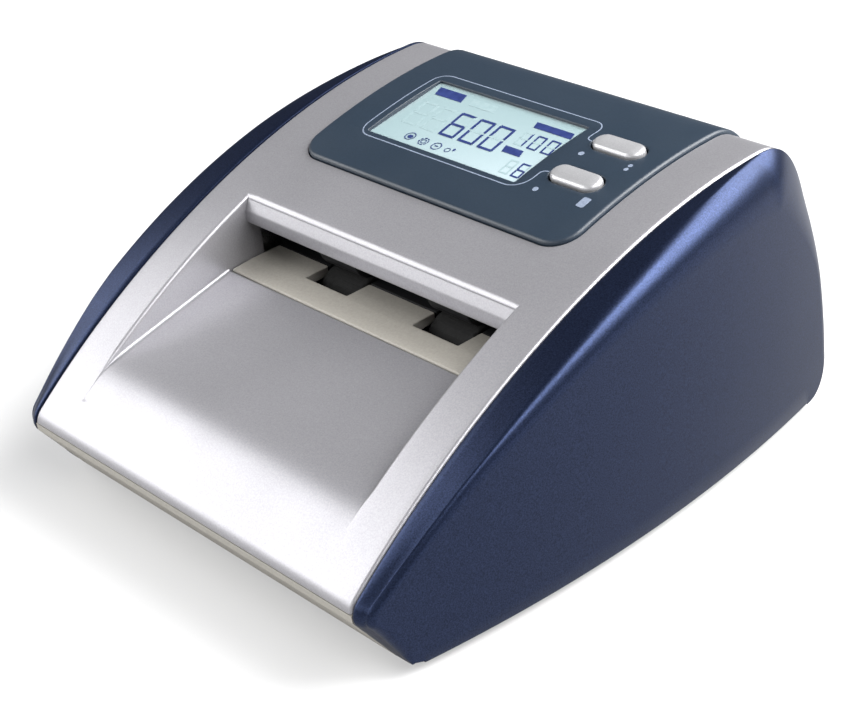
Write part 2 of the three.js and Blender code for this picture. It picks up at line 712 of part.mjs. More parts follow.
function caseScrew([x, y]) {
  const head = rod('z', 2.6, [BASE_Z, BASE_Z + 1.1], [x, y], 24);
  const shank = rod('z', 1.25, [BASE_Z + 0.8, 10.8], [x, y], 20);
  const slots = [0, 1].map((turn) => {
    const half = [turn ? 0.3 : 1.6, turn ? 1.6 : 0.3];
    return box([x - half[0], x + half[0]], [y - half[1], y + half[1]], [0, BASE_Z + 0.6]);
  });
  return without(joined(head, shank), ...slots);
}

// ---- the assembly ----
const machine = new THREE.Group();

function place(name, solid, look) {
  const mesh = new THREE.Mesh(geometryOf(solid), FINISHES[look].clone());
  mesh.name = name;
  machine.add(mesh);
}

function placeCasings() {
  place('top_cover', topCover(), 'silver');
  place('side_panel_left', sidePanel(-1), 'navy');
  place('side_panel_right', sidePanel(1), 'navy');
  place('base_cover', baseCover(), 'beige');
  place('rear_cover', rearCover(), 'beige');
}

function placeDisplay() {
  place('display_bezel', displayBezel(), 'slate');
  place('display_panel', displayPanel(), 'display');
  place('display_frame', displayFrame(), 'black');
  place('control_board', controlBoard(), 'board');
  KEY_ROWS.forEach((_, row) => {
    place(`key_${KEY_NAMES[row]}`, key(row), 'key');
    place(`key_switch_${KEY_NAMES[row]}`, keySwitch(row), 'black');
  });
}

function placeDrive() {
  const shafts = [['front', FRONT_SHAFT_Y], ['rear', REAR_SHAFT_Y]];
  const sides = [['left', -1], ['right', 1]];
  shafts.forEach(([end, y]) => {
    place(`feed_shaft_${end}`, feedShaft(y), 'steel');
    const phase = halfTooth(SHAFT_TEETH);
    place(`feed_gear_${end}`, gear(SHAFT_TEETH, phase, [y, SHAFT_Z], SHAFT_RADIUS + 0.05), 'acetal');
    sides.forEach(([hand, side]) => {
      place(`feed_roller_${end}_${hand}`, feedRoller(y, side), 'rubber');
      place(`pinch_roller_${end}_${hand}`, pinchRoller(y, side), 'acetal');
      place(`bushing_${end}_${hand}`, bushing(y, side), 'brass');
    });
  });
  place('idler_gear', gear(IDLER_TEETH, 0, [IDLER_Y, SHAFT_Z], 1.5), 'acetal');
  place('idler_pin', idlerPin(), 'steel');
  place('motor', motor(), 'steel');
  place('motor_pinion', motorPinion(), 'brass');
  sides.forEach(([hand, side]) => place(`chassis_plate_${hand}`, sidePlate(side), 'steel'));
}

function placePath() {
  place('entry_lip', entryLip(), 'beige');
  place('lower_guide', lowerGuide(), 'black');
  place('upper_guide', upperGuide(), 'black');
}

function placeElectronics() {
  place('magnetic_head', magneticHead(), 'steel');
  place('lower_sensor_board', lowerSensorBoard(), 'board');
  place('upper_sensor_board', upperSensorBoard(), 'board');
  place('main_board', mainBoard(), 'board');
  place('buzzer', buzzer(), 'black');
  place('controller_chip', chip(), 'black');
}

function placeOutside() {
  place('switch_frame', switchFrame(), 'black');
  place('power_rocker', powerRocker(), 'black');
  place('power_jack', powerJack(), 'black');
  place('data_port', dataPort(), 'steel');
  FOOT_PLACES.forEach((spot, k) => place(`foot_${k + 1}`, foot(spot), 'rubber'));
  SCREW_PLACES.forEach((spot, k) => place(`case_screw_${k + 1}`, caseScrew(spot), 'steel'));
}

placeCasings();
placeDisplay();
placePath();
placeDrive();
placeElectronics();
placeOutside();

export default machine;
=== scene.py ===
"""Looks for a desktop banknote counter: painted casing, printed display bezel, keys and drive."""

import math

import bmesh
import bpy
import numpy as np
from mathutils import Matrix, Vector


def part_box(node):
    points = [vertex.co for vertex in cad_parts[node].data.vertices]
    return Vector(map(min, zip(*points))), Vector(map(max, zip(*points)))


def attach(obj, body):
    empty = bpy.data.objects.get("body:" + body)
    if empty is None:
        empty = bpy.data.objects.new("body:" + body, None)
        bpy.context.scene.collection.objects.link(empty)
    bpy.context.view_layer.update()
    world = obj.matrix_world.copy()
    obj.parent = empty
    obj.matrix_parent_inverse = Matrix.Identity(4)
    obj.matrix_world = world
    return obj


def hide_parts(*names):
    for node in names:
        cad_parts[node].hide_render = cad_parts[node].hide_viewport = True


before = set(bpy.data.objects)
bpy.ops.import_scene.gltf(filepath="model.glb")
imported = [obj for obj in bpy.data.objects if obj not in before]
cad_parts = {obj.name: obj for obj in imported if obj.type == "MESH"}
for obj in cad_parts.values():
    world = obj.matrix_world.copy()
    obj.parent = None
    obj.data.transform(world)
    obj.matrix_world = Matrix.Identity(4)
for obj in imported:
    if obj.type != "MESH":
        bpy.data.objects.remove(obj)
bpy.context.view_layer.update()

MM = 0.001

# The body's side view, in millimetres: nose, arched top, crest, back and rear bottom corner.
NOSE_CENTRE, NOSE_RADIUS = (-61.75, 16.0), 4.5
ARCH = [(-64.64, 19.45), (-35.4, 43.8), (8.1, 63.7), (48.0, 63.9)]
CREST = [(48.0, 63.9), (55.5, 63.9), (58.4, 56.5), (60.0, 50.0)]
BACK = [(60.0, 50.0), (62.7, 40.5), (66.25, 27.0), (66.25, 10.4)]
BACK_CORNER, BACK_CORNER_RADIUS = (58.35, 10.4), 7.9
CHIN_TOP = (-66.05, 15.0)
CHIN_FOOT = (-58.0, 3.36)
UNDERSIDE = 2.5
NOSE_TOP_Y, CREST_Y, BACK_Y = -64.6, 48.0, 58.0

# The silver cover and its tray.
COVER_EDGE = 51.85
COVER_EDGE_ROUND = 0.8
COVER_FLANGE = 1.8
COVER_WALL = 0.6
COVER_FRONT_Z = 16.9
COVER_REAR_Z = 45.2
TRAY_HALF = 41.1
TRAY_ROUND = 0.9
TRAY_FRONT, TRAY_REAR = (-52.5, 28.4), (-18.5, 36.5)
TRAY_BLEND = 0.8
TRAY_WALL_FOOT = 34.5
TRAY_LIP, TRAY_LIP_DROP = 0.4, 1.7
LINTEL_Y, LINTEL_FOOT, LINTEL_BACK = -10.9, 45.3, -8.9

# The lintel's face in the side view, from under its rounded edge down to its foot.
LINTEL_FACE = [
    (-10.98, 50.6), (-11.45, 49.5), (-11.9, 48.5), (-12.02, 48.2), (-12.06, 47.9), (-12.1, 46.9),
    (-12.12, 45.9), (-12.0, 45.5), (-11.7, 45.33), (-11.3, LINTEL_FOOT),
    (LINTEL_BACK, LINTEL_FOOT), (LINTEL_BACK, LINTEL_FOOT + 1),
]

# The bulged side cheeks. A flush band lies beside the seam, widest at BAND_WIDEST_Y.
SEAM = 52.15
BULGE_X, BULGE_Y, BULGE_RADIUS = 61.57, -4.7, 325.0
BAND_WIDTH, BAND_WIDEST_Y, BAND_LEAST = 6.6, -37.0, 0.35
NOSE_Y = -66.0
SHOULDER_TILT = 38.0
CHEEK_WALL, SEAM_WALL = 0.8, 0.9
CHEEK_MIDDLE = (SEAM, 2.0, 24.0)
CHEEK_FOOT_Y = (-55.2, 57.0)

# The display bezel, its window, keys and print. Radii go from the far right corner, anticlockwise.
BEZEL_HALF, BEZEL_FRONT, BEZEL_REAR = 40.0, 3.3, 57.0
BEZEL_LAP_Y = 58.2
BEZEL_CORNERS, OPENING_CORNERS = (1.2, 1.2, 6.0, 6.0), (1.0, 1.0, 6.0, 6.0)
BEZEL_RAISE, BEZEL_DEEP = 0.9, -1.5
OPENING_GAP = 0.3
WINDOW_X, WINDOW_Y = (-29.0, 16.2), (14.6, 36.6)
WINDOW_DEPTH, FLAT_FILM_LIFT = 0.85, 0.2
KEY_X, KEY_ROWS, KEY_SIZE = 27.6, {"lower": 20.8, "upper": 33.3}, (12.8, 5.2)
KEY_HOLE_GAP = 0.8
PRINT_SUNK, PRINT_HEIGHT, PRINT_LINE = 0.02, 0.03, 0.28


# ---- curves ----
def arc(centre, radius, start, end, steps):
    turn = np.radians(np.linspace(start, end, steps + 1))
    return np.stack([centre[0] + radius * np.cos(turn), centre[1] + radius * np.sin(turn)], 1)


def bezier(points, steps):
    t = np.linspace(0, 1, steps + 1)[:, None]
    a, b, c, d = (np.array(p) for p in points)
    return (1 - t) ** 3 * a + 3 * t * (1 - t) ** 2 * b + 3 * t * t * (1 - t) * c + t ** 3 * d


class Line:
    """A curve in the side view, read by its length or by its depth from front to back."""

    def __init__(self, points):
        self.points = np.asarray(points, float)
        steps = np.hypot(*np.diff(self.points, axis=0).T)
        self.length = np.concatenate([[0], np.cumsum(steps)])
        way = np.gradient(self.points, self.length, axis=0)
        way /= np.hypot(*way.T)[:, None]
        self.inward = np.stack([way[:, 1], -way[:, 0]], 1)

    def at(self, length):
        place = [np.interp(length, self.length, self.points[:, k]) for k in (0, 1)]
        inward = [np.interp(length, self.length, self.inward[:, k]) for k in (0, 1)]
        return np.stack(place, -1), np.stack(inward, -1)

    def length_at_y(self, y):
        top = self.points[:, 1] > 18
        return np.interp(y, self.points[top, 0], self.length[top])

    def height(self, y):
        top = self.points[:, 1] > 18
        return np.interp(y, self.points[top, 0], self.points[top, 1])


UPPER = Line(np.concatenate([
    arc(NOSE_CENTRE, NOSE_RADIUS, 180, 130, 24)[:-1],
    bezier(ARCH, 400)[:-1],
    bezier(CREST, 90)[:-1],
    bezier(BACK, 90)[:-1],
    arc(BACK_CORNER, BACK_CORNER_RADIUS, 0, -90, 30),
]))
CHIN = np.linspace(CHIN_FOOT, CHIN_TOP, 16)
OUTLINE = Line(np.concatenate([CHIN, UPPER.points]))


# ---- meshes ----
def grid(points, toward, keep=None):
    """Faces over rows and columns of points, turned to face the given way."""
    points = np.asarray(points, float)
    rows, columns = points.shape[:2]
    faces = []
    for r in range(rows - 1):
        for c in range(columns - 1):
            if keep is None or keep(r, c):
                k = r * columns + c
                faces.append((k, k + 1, k + columns + 1, k + columns))
    flat = points.reshape(-1, 3)
    corners = flat[np.array(faces)]
    normals = np.cross(corners[:, 2] - corners[:, 0], corners[:, 3] - corners[:, 1])
    if normals.sum(0) @ np.array(toward, float) < 0:
        faces = [face[::-1] for face in faces]
    return flat, faces


def joined(*parts):
    points, faces, start = [], [], 0
    for flat, some in parts:
        points.append(flat)
        faces += [tuple(k + start for k in face) for face in some]
        start += len(flat)
    return np.concatenate(points), faces


def piece_from(name, points, faces, weld=0.003):
    mesh = bpy.data.meshes.new(name)
    mesh.from_pydata((np.asarray(points) * MM).tolist(), [], faces)
    tidy = bmesh.new()
    tidy.from_mesh(mesh)
    bmesh.ops.remove_doubles(tidy, verts=tidy.verts, dist=weld * MM)
    bmesh.ops.dissolve_degenerate(tidy, edges=tidy.edges, dist=0.0005 * MM)
    tidy.to_mesh(mesh)
    tidy.free()
    piece = bpy.data.objects.new(name, mesh)
    bpy.context.scene.collection.objects.link(piece)
    return piece


def settle(piece):
    """Turns a piece's modifiers into its mesh."""
    bpy.context.view_layer.update()
    done = piece.evaluated_get(bpy.context.evaluated_depsgraph_get())
    piece.data = bpy.data.meshes.new_from_object(done)
    piece.modifiers.clear()
    return piece


def smooth(piece, degrees=32):
    piece.data.polygons.foreach_set("use_smooth", [True] * len(piece.data.polygons))
    piece.data.set_sharp_from_angle(angle=math.radians(degrees))
    return piece


def thicken(piece, thickness):
    wall = piece.modifiers.new("wall", "SOLIDIFY")
    wall.thickness = thickness * MM
    wall.offset = -1
    return settle(piece)


def cut(piece, cutter, operation="DIFFERENCE"):
    blade = piece.modifiers.new("cut", "BOOLEAN")
    blade.operation = operation
    blade.solver = "MANIFOLD"
    blade.object = cutter
    settle(piece)
    bpy.data.objects.remove(cutter)
    return piece


def dress(piece, body, slot, material, *nodes):
    """Puts a finished piece on its body, with its finish, in place of CAD nodes."""
    piece.data.materials.clear()
    piece.data.materials.append(material)
    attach(piece, body)
    if nodes:
        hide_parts(*nodes)
    return piece


# ---- the silver cover ----
def smooth_lower(a, b):
    return -TRAY_BLEND * np.logaddexp(-a / TRAY_BLEND, -b / TRAY_BLEND)


def tray_floor(y, surface):
    slope = (TRAY_REAR[1] - TRAY_FRONT[1]) / (TRAY_REAR[0] - TRAY_FRONT[0])
    plane = TRAY_FRONT[1] + slope * (y - TRAY_FRONT[0])
    floor = smooth_lower(surface, plane)
    return np.where((y < -60) & (surface - floor < 0.16), surface, np.minimum(floor, surface))


def cover_rows():
    """Lengths along the upper line for the cover's rows, and where the tray and lintel end."""
    front = np.interp(COVER_FRONT_Z, UPPER.points[:20, 1], UPPER.length[:20])
    floor_end, lintel = UPPER.length_at_y(TRAY_REAR[0] - 0.4), UPPER.length_at_y(LINTEL_Y)
    lintel_top = UPPER.length_at_y(LINTEL_Y + TRAY_ROUND)
    nose_top, crest = UPPER.length_at_y(NOSE_TOP_Y), UPPER.length_at_y(CREST_Y)
    behind = UPPER.points[:, 0] > BACK_Y
    rear = np.interp(-COVER_REAR_Z, -UPPER.points[behind, 1], UPPER.length[behind])
    parts = [
        np.linspace(front, nose_top, 10)[:-1],
        np.linspace(nose_top, floor_end, 90)[:-1],
        np.linspace(floor_end, lintel, 10)[:-1],
        np.linspace(lintel, lintel_top, 2)[:-1],
        np.linspace(lintel_top, crest, 80)[:-1],
        np.linspace(crest, rear, 60),
    ]
    return np.concatenate(parts), len(parts[0]) + len(parts[1]), sum(map(len, parts[:4]))


def cover_top(rows, wall_round, lintel_row):
    """The cover's upper sheet, open over the tray."""
    edge = arc((COVER_EDGE - COVER_EDGE_ROUND, -COVER_EDGE_ROUND), COVER_EDGE_ROUND, 0, 90, 8)
    side = [(COVER_EDGE, COVER_FLANGE), *((x, -d) for x, d in edge)]
    place, inward = UPPER.at(rows)
    points = []
    for k, ((y, z), (iy, iz)) in enumerate(zip(place, inward)):
        inner = TRAY_HALF + wall_round[min(k, lintel_row - 1)]
        right = side + [(x, 0.0) for x in np.linspace(side[-1][0], inner, 5)[1:]]
        left = [(-x, d) for x, d in right]
        middle = [(x, 0.0) for x in np.linspace(-inner, inner, 26)[1:-1]]
        across = left + middle + right[::-1]
        points.append([(x, y + iy * d, z + iz * d) for x, d in across])
    inside = len(left) - 1
    outside = len(left) + len(middle)

    def beside_the_tray(row, column):
        return row >= lintel_row or column < inside or column >= outside

    return grid(points, (0, 0, 1), beside_the_tray)


def tray_walls(rows, wall_round, floor_row, lintel_row, side):
    """One side wall of the tray, from its rounded edge to the floor and back under the lintel."""
    place, _ = UPPER.at(rows)
    turn = np.radians(np.linspace(0, 90, 9))
    parts = []
    front, rear = [], []
    for k in range(lintel_row):
        y, z = place[k]
        r = wall_round[k]
        on_floor = k <= floor_row
        foot = tray_floor(y, z) if on_floor else TRAY_WALL_FOOT
        column = [(TRAY_HALF + r * (1 - math.sin(a)), y, z - r * (1 - math.cos(a))) for a in turn]
        drop = np.linspace(z - r, foot + (r if on_floor else 0), 5)[1:]
        column += [(TRAY_HALF, y, h) for h in drop]
        if on_floor:
            column += [
                (TRAY_HALF - r * (1 - math.cos(a)), y, foot + r * (1 - math.sin(a))) for a in turn[1:]
            ]
            front.append(column)
        else:
            rear.append(column)
    mitre = []
    for a in turn:
        out = TRAY_ROUND * (1 - math.sin(a))
        y = LINTEL_Y + out
        mitre.append((TRAY_HALF + out, y, UPPER.height(y) - TRAY_ROUND * (1 - math.cos(a))))
    last = [(TRAY_HALF, LINTEL_Y, h) for _, _, h in rear[-1][len(turn):]]
    rear.append(mitre + last)
    step_down = [(TRAY_HALF, place[floor_row][0], h) for _, _, h in rear[0][len(turn):]]
    bridge = [front[-1][:len(turn)] + step_down]
    behind = [
        [(TRAY_HALF, y, z) for z in np.linspace(LINTEL_FOOT + 0.8, TRAY_WALL_FOOT, 4)]
        for y in (LINTEL_Y + 0.02, LINTEL_BACK - 0.02)
    ]
    for rows_of_points in (front, bridge + rear, behind):
        points = np.array(rows_of_points) * (side, 1, 1)
        parts.append(grid(points, (-side, 0, 0.2)))
    return joined(*parts)


def tray_floor_sheet(rows, wall_round, floor_row):
    """The tray's floor, with a lip that rounds down at the slot."""
    place, _ = UPPER.at(rows)
    points = []
    for k in range(floor_row + 1):
        y, z = place[k]
        half = TRAY_HALF - wall_round[k]
        height = float(tray_floor(y, z))
        points.append([(x, y, height) for x in np.linspace(-half, half, 34)])
    y, half, height = points[-1][0][1], TRAY_HALF - wall_round[floor_row], points[-1][0][2]
    for a in np.radians([22, 45, 68, 90]):
        down = TRAY_LIP * (1 - math.cos(a)) - 0.095 * math.sin(a)
        ahead = y + TRAY_LIP * math.sin(a)
        points.append([(x, ahead, height - down) for x in np.linspace(-half, half, 34)])
    foot = height - TRAY_LIP_DROP
    points.append([(x, y + TRAY_LIP, foot) for x in np.linspace(-half, half, 34)])
    return grid(points, (0, 0, 1))


def lintel_sheet():
    """The front of the lintel over the slot: a rounded edge, a face and a turned-in foot."""
    turn = np.radians(np.linspace(0, 90, 9))
    rows = []
    for a in turn:
        out = TRAY_ROUND * (1 - math.sin(a))
        y = LINTEL_Y + out
        z = UPPER.height(y) - TRAY_ROUND * (1 - math.cos(a))
        rows.append([(x, y, z) for x in np.linspace(-TRAY_HALF - out, TRAY_HALF + out, 26)])
    for y, z in LINTEL_FACE:
        rows.append([(x, y, z) for x in np.linspace(-TRAY_HALF, TRAY_HALF, 26)])
    return grid(rows, (0, -1, 0))


def silver_cover():
    rows, floor_row, lintel_row = cover_rows()
    place, _ = UPPER.at(rows)
    floor = np.array([float(tray_floor(y, z)) for y, z in place])
    wall_round = np.minimum(TRAY_ROUND, np.maximum(place[:, 1] - floor, 0) / 2)
    wall_round[floor_row + 1:] = TRAY_ROUND
    parts = [
        cover_top(rows, wall_round, lintel_row),
        tray_walls(rows, wall_round, floor_row, lintel_row, 1),
        tray_walls(rows, wall_round, floor_row, lintel_row, -1),
        tray_floor_sheet(rows, wall_round, floor_row),
        lintel_sheet(),
    ]
    cover = piece_from("silver_cover", *joined(*parts))
    thicken(cover, COVER_WALL)
    across, along = (-BEZEL_HALF, BEZEL_HALF), (BEZEL_FRONT, BEZEL_REAR)
    plan = rounded_outline(across, along, OPENING_CORNERS, OPENING_GAP)
    cut(cover, prism("bezel_opening", plan, 40, 80))
    return smooth(cover)


# ---- the side cheeks ----
def bulge(y):
    return BULGE_X - BULGE_RADIUS + np.sqrt(BULGE_RADIUS ** 2 - (y - BULGE_Y) ** 2)


def shoulder(y, z):
    """The flush band's width and drop beside the seam, then its rounding's height and start angle."""
    low = max(0.0, z - UNDERSIDE)
    if y > CREST_Y and z < CREST[0][1] - 0.1:
        share = np.clip((z - 30) / 33, 0, 1)
        share = share * share * (3 - 2 * share)
        height = min(2.4 + 9.1 * share, 0.05 + 0.3 * low)
        return 0.0, 0.0, height, SHOULDER_TILT * share ** 2
    behind = y - BAND_WIDEST_Y
    if behind < 0:
        reach = BAND_WIDTH - 0.0037 * behind ** 2
    else:
        reach = BAND_WIDTH * (1 - (behind / (CREST_Y - BAND_WIDEST_Y)) ** 2.2)
    drop = min(0.1 + 0.039 * max(0.0, -43 - y), 0.1 * low)
    level_out = 1 - np.clip((y - 10) / (CREST_Y - 10), 0, 1)
    back = np.clip((y - NOSE_Y) / (CREST_Y - NOSE_Y), 0, 1)
    height = min(1.5 + 10.0 * back ** 1.6, 0.05 + 0.5 * low)
    tilt = SHOULDER_TILT * np.clip((y - 5) / (CREST_Y - 5), 0, 1) ** 1.5
    return reach, drop * level_out, height, tilt


def cheek_column(place, inward, target):
    """One row of the cheek: in the seam, over the band and shoulder, and down the bulged side."""
    y, z = place
    reach, drop, height, tilt = shoulder(y, z)
    room = bulge(y) - SEAM
    reach = min(reach, room - 0.75 * min(height, 1.6)) if y < 0 else min(reach, room)
    reach = max(reach, BAND_LEAST)
    first = math.radians(tilt)
    column = [(SEAM, 1.3), (SEAM, 0.3), (SEAM + 0.09, 0.09), (SEAM + 0.3, 0.0)]
    for share in (0.25, 0.5, 0.75):
        column.append((SEAM + reach * share, drop * share ** 2))
    spots = []
    for x, depth in column:
        spots.append((x, y + inward[0] * depth, z + inward[1] * depth))
    for a in np.linspace(first, math.pi / 2, 25):
        depth = drop + height * (math.cos(first) - math.cos(a)) / math.cos(first)
        py, pz = y + inward[0] * depth, z + inward[1] * depth
        share = (math.sin(a) - math.sin(first)) / (1 - math.sin(first))
        start = SEAM + reach
        spots.append((start + (bulge(py) - start) * share, py, pz))
    _, ey, ez = spots[-1]
    foot = min(ez, UNDERSIDE + 0.5)
    for share in np.linspace(0, 1, 13)[1:]:
        py = ey + (target - ey) * share
        spots.append((bulge(py), py, ez + (foot - ez) * share))
    x, py, _ = spots[-1]
    spots += [(x - 0.15, py, UNDERSIDE + 0.15), (x - 0.5, py, UNDERSIDE), (x - 1.4, py, UNDERSIDE)]
    return [(x, py, max(pz, UNDERSIDE)) for x, py, pz in spots]


def lining(points):
    """The inner side of a cheek wall: the same rows, drawn in toward the middle of the body."""
    way = np.array(CHEEK_MIDDLE) - points
    way[..., 0] = 0
    way /= np.linalg.norm(way, axis=-1, keepdims=True)
    inner = points + way * CHEEK_WALL
    inner[..., 0] = np.maximum(points[..., 0] - SEAM_WALL, SEAM)
    inner[..., 2] = np.maximum(inner[..., 2], UNDERSIDE)
    return inner


def side_cheek(name, side):
    """A closed cheek whose rows lean inward by a direction averaged along the outline."""
    chin_end = OUTLINE.length[len(CHIN)]
    lengths = np.concatenate([
        np.linspace(0, chin_end, 26)[:-1],
        np.linspace(chin_end, OUTLINE.length[-1], 200),
    ])
    place, _ = OUTLINE.at(lengths)
    ways = []
    for length in lengths:
        near = np.linspace(length - 14, length + 14, 29)
        weight = np.exp(-((near - length) / 7.5) ** 2)
        inward = OUTLINE.at(np.clip(near, 0, OUTLINE.length[-1]))[1]
        way = (inward * weight[:, None]).sum(0)
        ways.append(way / np.hypot(*way))
    columns = []
    for spot, way in zip(place, ways):
        columns.append(cheek_column(spot, way, np.clip(spot[0], *CHEEK_FOOT_Y)))
    outer = np.array(columns)
    inner = lining(outer)
    rims = [(outer[0], inner[0], (0, -1, 0)), (outer[-1], inner[-1], (0, 0, -1))]
    rims += [(outer[:, 0], inner[:, 0], (-1, 0, 0)), (outer[:, -1], inner[:, -1], (0, 0, -1))]
    hand = np.array((side, 1, 1))
    sheets = [grid(outer * hand, (side, 0, 0.6)), grid(inner * hand, (-side, 0, -0.6))]
    for edge, lined, toward in rims:
        sheets.append(grid(np.stack([edge, lined]) * hand, np.array(toward) * hand))
    return smooth(piece_from(name, *joined(*sheets)), 40)


# ---- flat outlines and plates that follow the arched top ----
def rounded_outline(across, along, radii, grow=0.0, steps=10):
    """A rounded rectangle, anticlockwise from its far right corner; radii in that order."""
    (x0, x1), (y0, y1) = across, along
    corners = [(x1, y1, -1, -1), (x0, y1, 1, -1), (x0, y0, 1, 1), (x1, y0, -1, 1)]
    points = []
    for k, (x, y, sx, sy) in enumerate(corners):
        radius = radii[k]
        centre = (x + sx * radius, y + sy * radius)
        points.append(arc(centre, max(radius + grow, 0.01), 90 * k, 90 * k + 90, steps))
    return np.concatenate(points)


def prism(name, outline, low, high):
    count = len(outline)
    points = [(x, y, z) for z in (low, high) for x, y in outline]
    faces = [(k, (k + 1) % count, count + (k + 1) % count, count + k) for k in range(count)]
    faces += [tuple(range(count))[::-1], tuple(range(count, 2 * count))]
    return piece_from(name, points, faces)


def plate(name, rings, holes, slices=1.2):
    """A plate on the arched top. Its rings, and each hole's, are (outline, height) from foot to rim."""
    made = bmesh.new()

    def loops(stack, inner):
        tiers = []
        for outline, height in stack:
            tiers.append([made.verts.new((x, s, height)) for x, s in outline])
        for low, high in zip(tiers, tiers[1:]):
            count = len(low)
            for k in range(count):
                quad = [low[k], low[(k + 1) % count], high[(k + 1) % count], high[k]]
                made.faces.new(quad[::-1] if inner else quad)
        return tiers[0], tiers[-1]

    ends = [loops(rings, False)] + [loops(hole, True) for hole in holes]
    for which in (0, 1):
        edges = []
        for pair in ends:
            ring = pair[which]
            edges += [made.edges.get((ring[k], ring[(k + 1) % len(ring)])) for k in range(len(ring))]
        fill = bmesh.ops.triangle_fill(made, use_beauty=True, edges=edges)
        faces = [f for f in fill["geom"] if isinstance(f, bmesh.types.BMFace)]
        up = sum(f.normal.z for f in faces) > 0
        if up != (which == 1):
            bmesh.ops.reverse_faces(made, faces=faces)
    outline = np.array(rings[0][0])
    for s in np.arange(outline[:, 1].min() + slices / 2, outline[:, 1].max(), slices):
        geometry = made.verts[:] + made.edges[:] + made.faces[:]
        bmesh.ops.bisect_plane(made, geom=geometry, dist=1e-7, plane_co=(0, s, 0), plane_no=(0, 1, 0))
    for v in made.verts:
        (y, z), (iy, iz) = UPPER.at(v.co.y)
        x, height = v.co.x, v.co.z
        v.co = (x * MM, (y - iy * height) * MM, (z - iz * height) * MM)
    bmesh.ops.dissolve_degenerate(made, edges=made.edges, dist=0.0005 * MM)
    mesh = bpy.data.meshes.new(name)
    made.to_mesh(mesh)
    made.free()
    piece = bpy.data.objects.new(name, mesh)
    bpy.context.scene.collection.objects.link(piece)
    return piece


def along_arch(y):
    return float(UPPER.length_at_y(y))


def pill(centre_x, centre_y, length, width, grow=0.0, steps=10):
    x, s, r = centre_x, along_arch(centre_y), width / 2
    span = (x - length / 2, x + length / 2)
    return rounded_outline(span, (s - r, s + r), (r - 0.01,) * 4, grow, steps)


def rim(outline_at, foot, top, radius, steps=6):
    """Tiers of one outline rising from a foot and rounding in to its top."""
    tiers = [(outline_at(0.0), foot)]
    for a in np.radians(np.linspace(0, 90, steps + 1)):
        tiers.append((outline_at(-radius * (1 - math.cos(a))), top - radius + radius * math.sin(a)))
    return tiers


def bezel_piece():
    """The bezel, whose rear edge laps over the cover, with its window and two key holes."""
    across, along = (-BEZEL_HALF, BEZEL_HALF), (along_arch(BEZEL_FRONT), along_arch(BEZEL_LAP_Y))
    window = (along_arch(WINDOW_Y[0]), along_arch(WINDOW_Y[1]))
    hole_length, hole_width = (size + KEY_HOLE_GAP for size in KEY_SIZE)
    rings = rim(
        lambda grow: rounded_outline(across, along, BEZEL_CORNERS, grow),
        BEZEL_DEEP, BEZEL_RAISE, 0.85, 7,
    )
    holes = [rim(
        lambda grow: rounded_outline(WINDOW_X, window, (0.35,) * 4, -grow, 4),
        BEZEL_DEEP, BEZEL_RAISE, 0.18, 3,
    )]
    for y in KEY_ROWS.values():
        holes.append(rim(
            lambda grow, y=y: pill(KEY_X, y, hole_length, hole_width, -grow),
            BEZEL_DEEP, BEZEL_RAISE, 0.25, 3,
        ))
    return smooth(plate("display_bezel_shell", rings, holes))


def ribbon(points, width):
    """A narrow band's outline along an open path."""
    points = np.asarray(points, float)
    way = np.gradient(points, axis=0)
    way /= np.hypot(*way.T)[:, None]
    out = np.stack([way[:, 1], -way[:, 0]], 1) * width / 2
    return np.concatenate([points + out, (points - out)[::-1]])


def printed(name, outline):
    """A mark of ink on the bezel's face."""
    tiers = [(outline, BEZEL_RAISE - PRINT_SUNK), (outline, BEZEL_RAISE + PRINT_HEIGHT)]
    return plate(name, tiers, [])


def bezel_print():
    """The light line round the window, open at the keys, and small marks beside them."""
    s = along_arch
    left, right, front, back = -31.0, 19.0, s(13.2), s(39.2)
    low, high = s(20.2), s(32.6)
    tip, hook_x, hook = 20.6, 20.3, 1.3
    near_right, left_round, far_right = 4.4, 3.4, 3.0
    path = np.concatenate([
        [(tip, low)],
        arc((hook_x, low - hook), hook, 90, 180, 6),
        arc((right - near_right, front + near_right), near_right, 0, -90, 10),
        arc((left + left_round, front + left_round), left_round, -90, -180, 10),
        arc((left + left_round, back - left_round), left_round, 180, 90, 10),
        arc((right - far_right, back - far_right), far_right, 90, 0, 10),
        arc((hook_x, high + hook), hook, 180, 270, 6),
        [(tip, high)],
    ])
    fine = Line(path)
    count = int(fine.length[-1] / 0.5)
    path = fine.at(np.linspace(0, fine.length[-1], count))[0]
    marks = [printed("window_line", ribbon(path, PRINT_LINE))]
    dots = [(22.1, 28.0, 0.66), (22.1, 14.7, 0.66), (34.5, 29.1, 0.52), (34.6, 27.7, 0.52)]
    for k, (x, y, r) in enumerate(dots):
        marks.append(printed(f"printed_dot_{k + 1}", arc((x, s(y)), r, 0, 360, 20)[:-1]))
    bar = rounded_outline((33.5, 35.5), (s(14.1), s(17.0)), (0.4,) * 4, 0, 4)
    marks.append(printed("printed_bar", bar))
    return marks


# ---- display ----
def display_map():
    """Carries window coordinates (right, down from the top left, height) onto the display's plane."""
    x0 = WINDOW_X[0]
    top, bottom = (UPPER.at(along_arch(y))[0] for y in (WINDOW_Y[1], WINDOW_Y[0]))
    span = np.hypot(*(bottom - top))
    way = (bottom - top) / span
    up = np.array([way[1], -way[0]])
    middle = (top + bottom) / 2
    level = BEZEL_RAISE - WINDOW_DEPTH + FLAT_FILM_LIFT

    def to_body(u, v, h=0.0):
        y, z = middle + way * (v - span / 2) + up * (level + h)
        return (x0 + u, y, z)

    return to_body, WINDOW_X[1] - x0, span


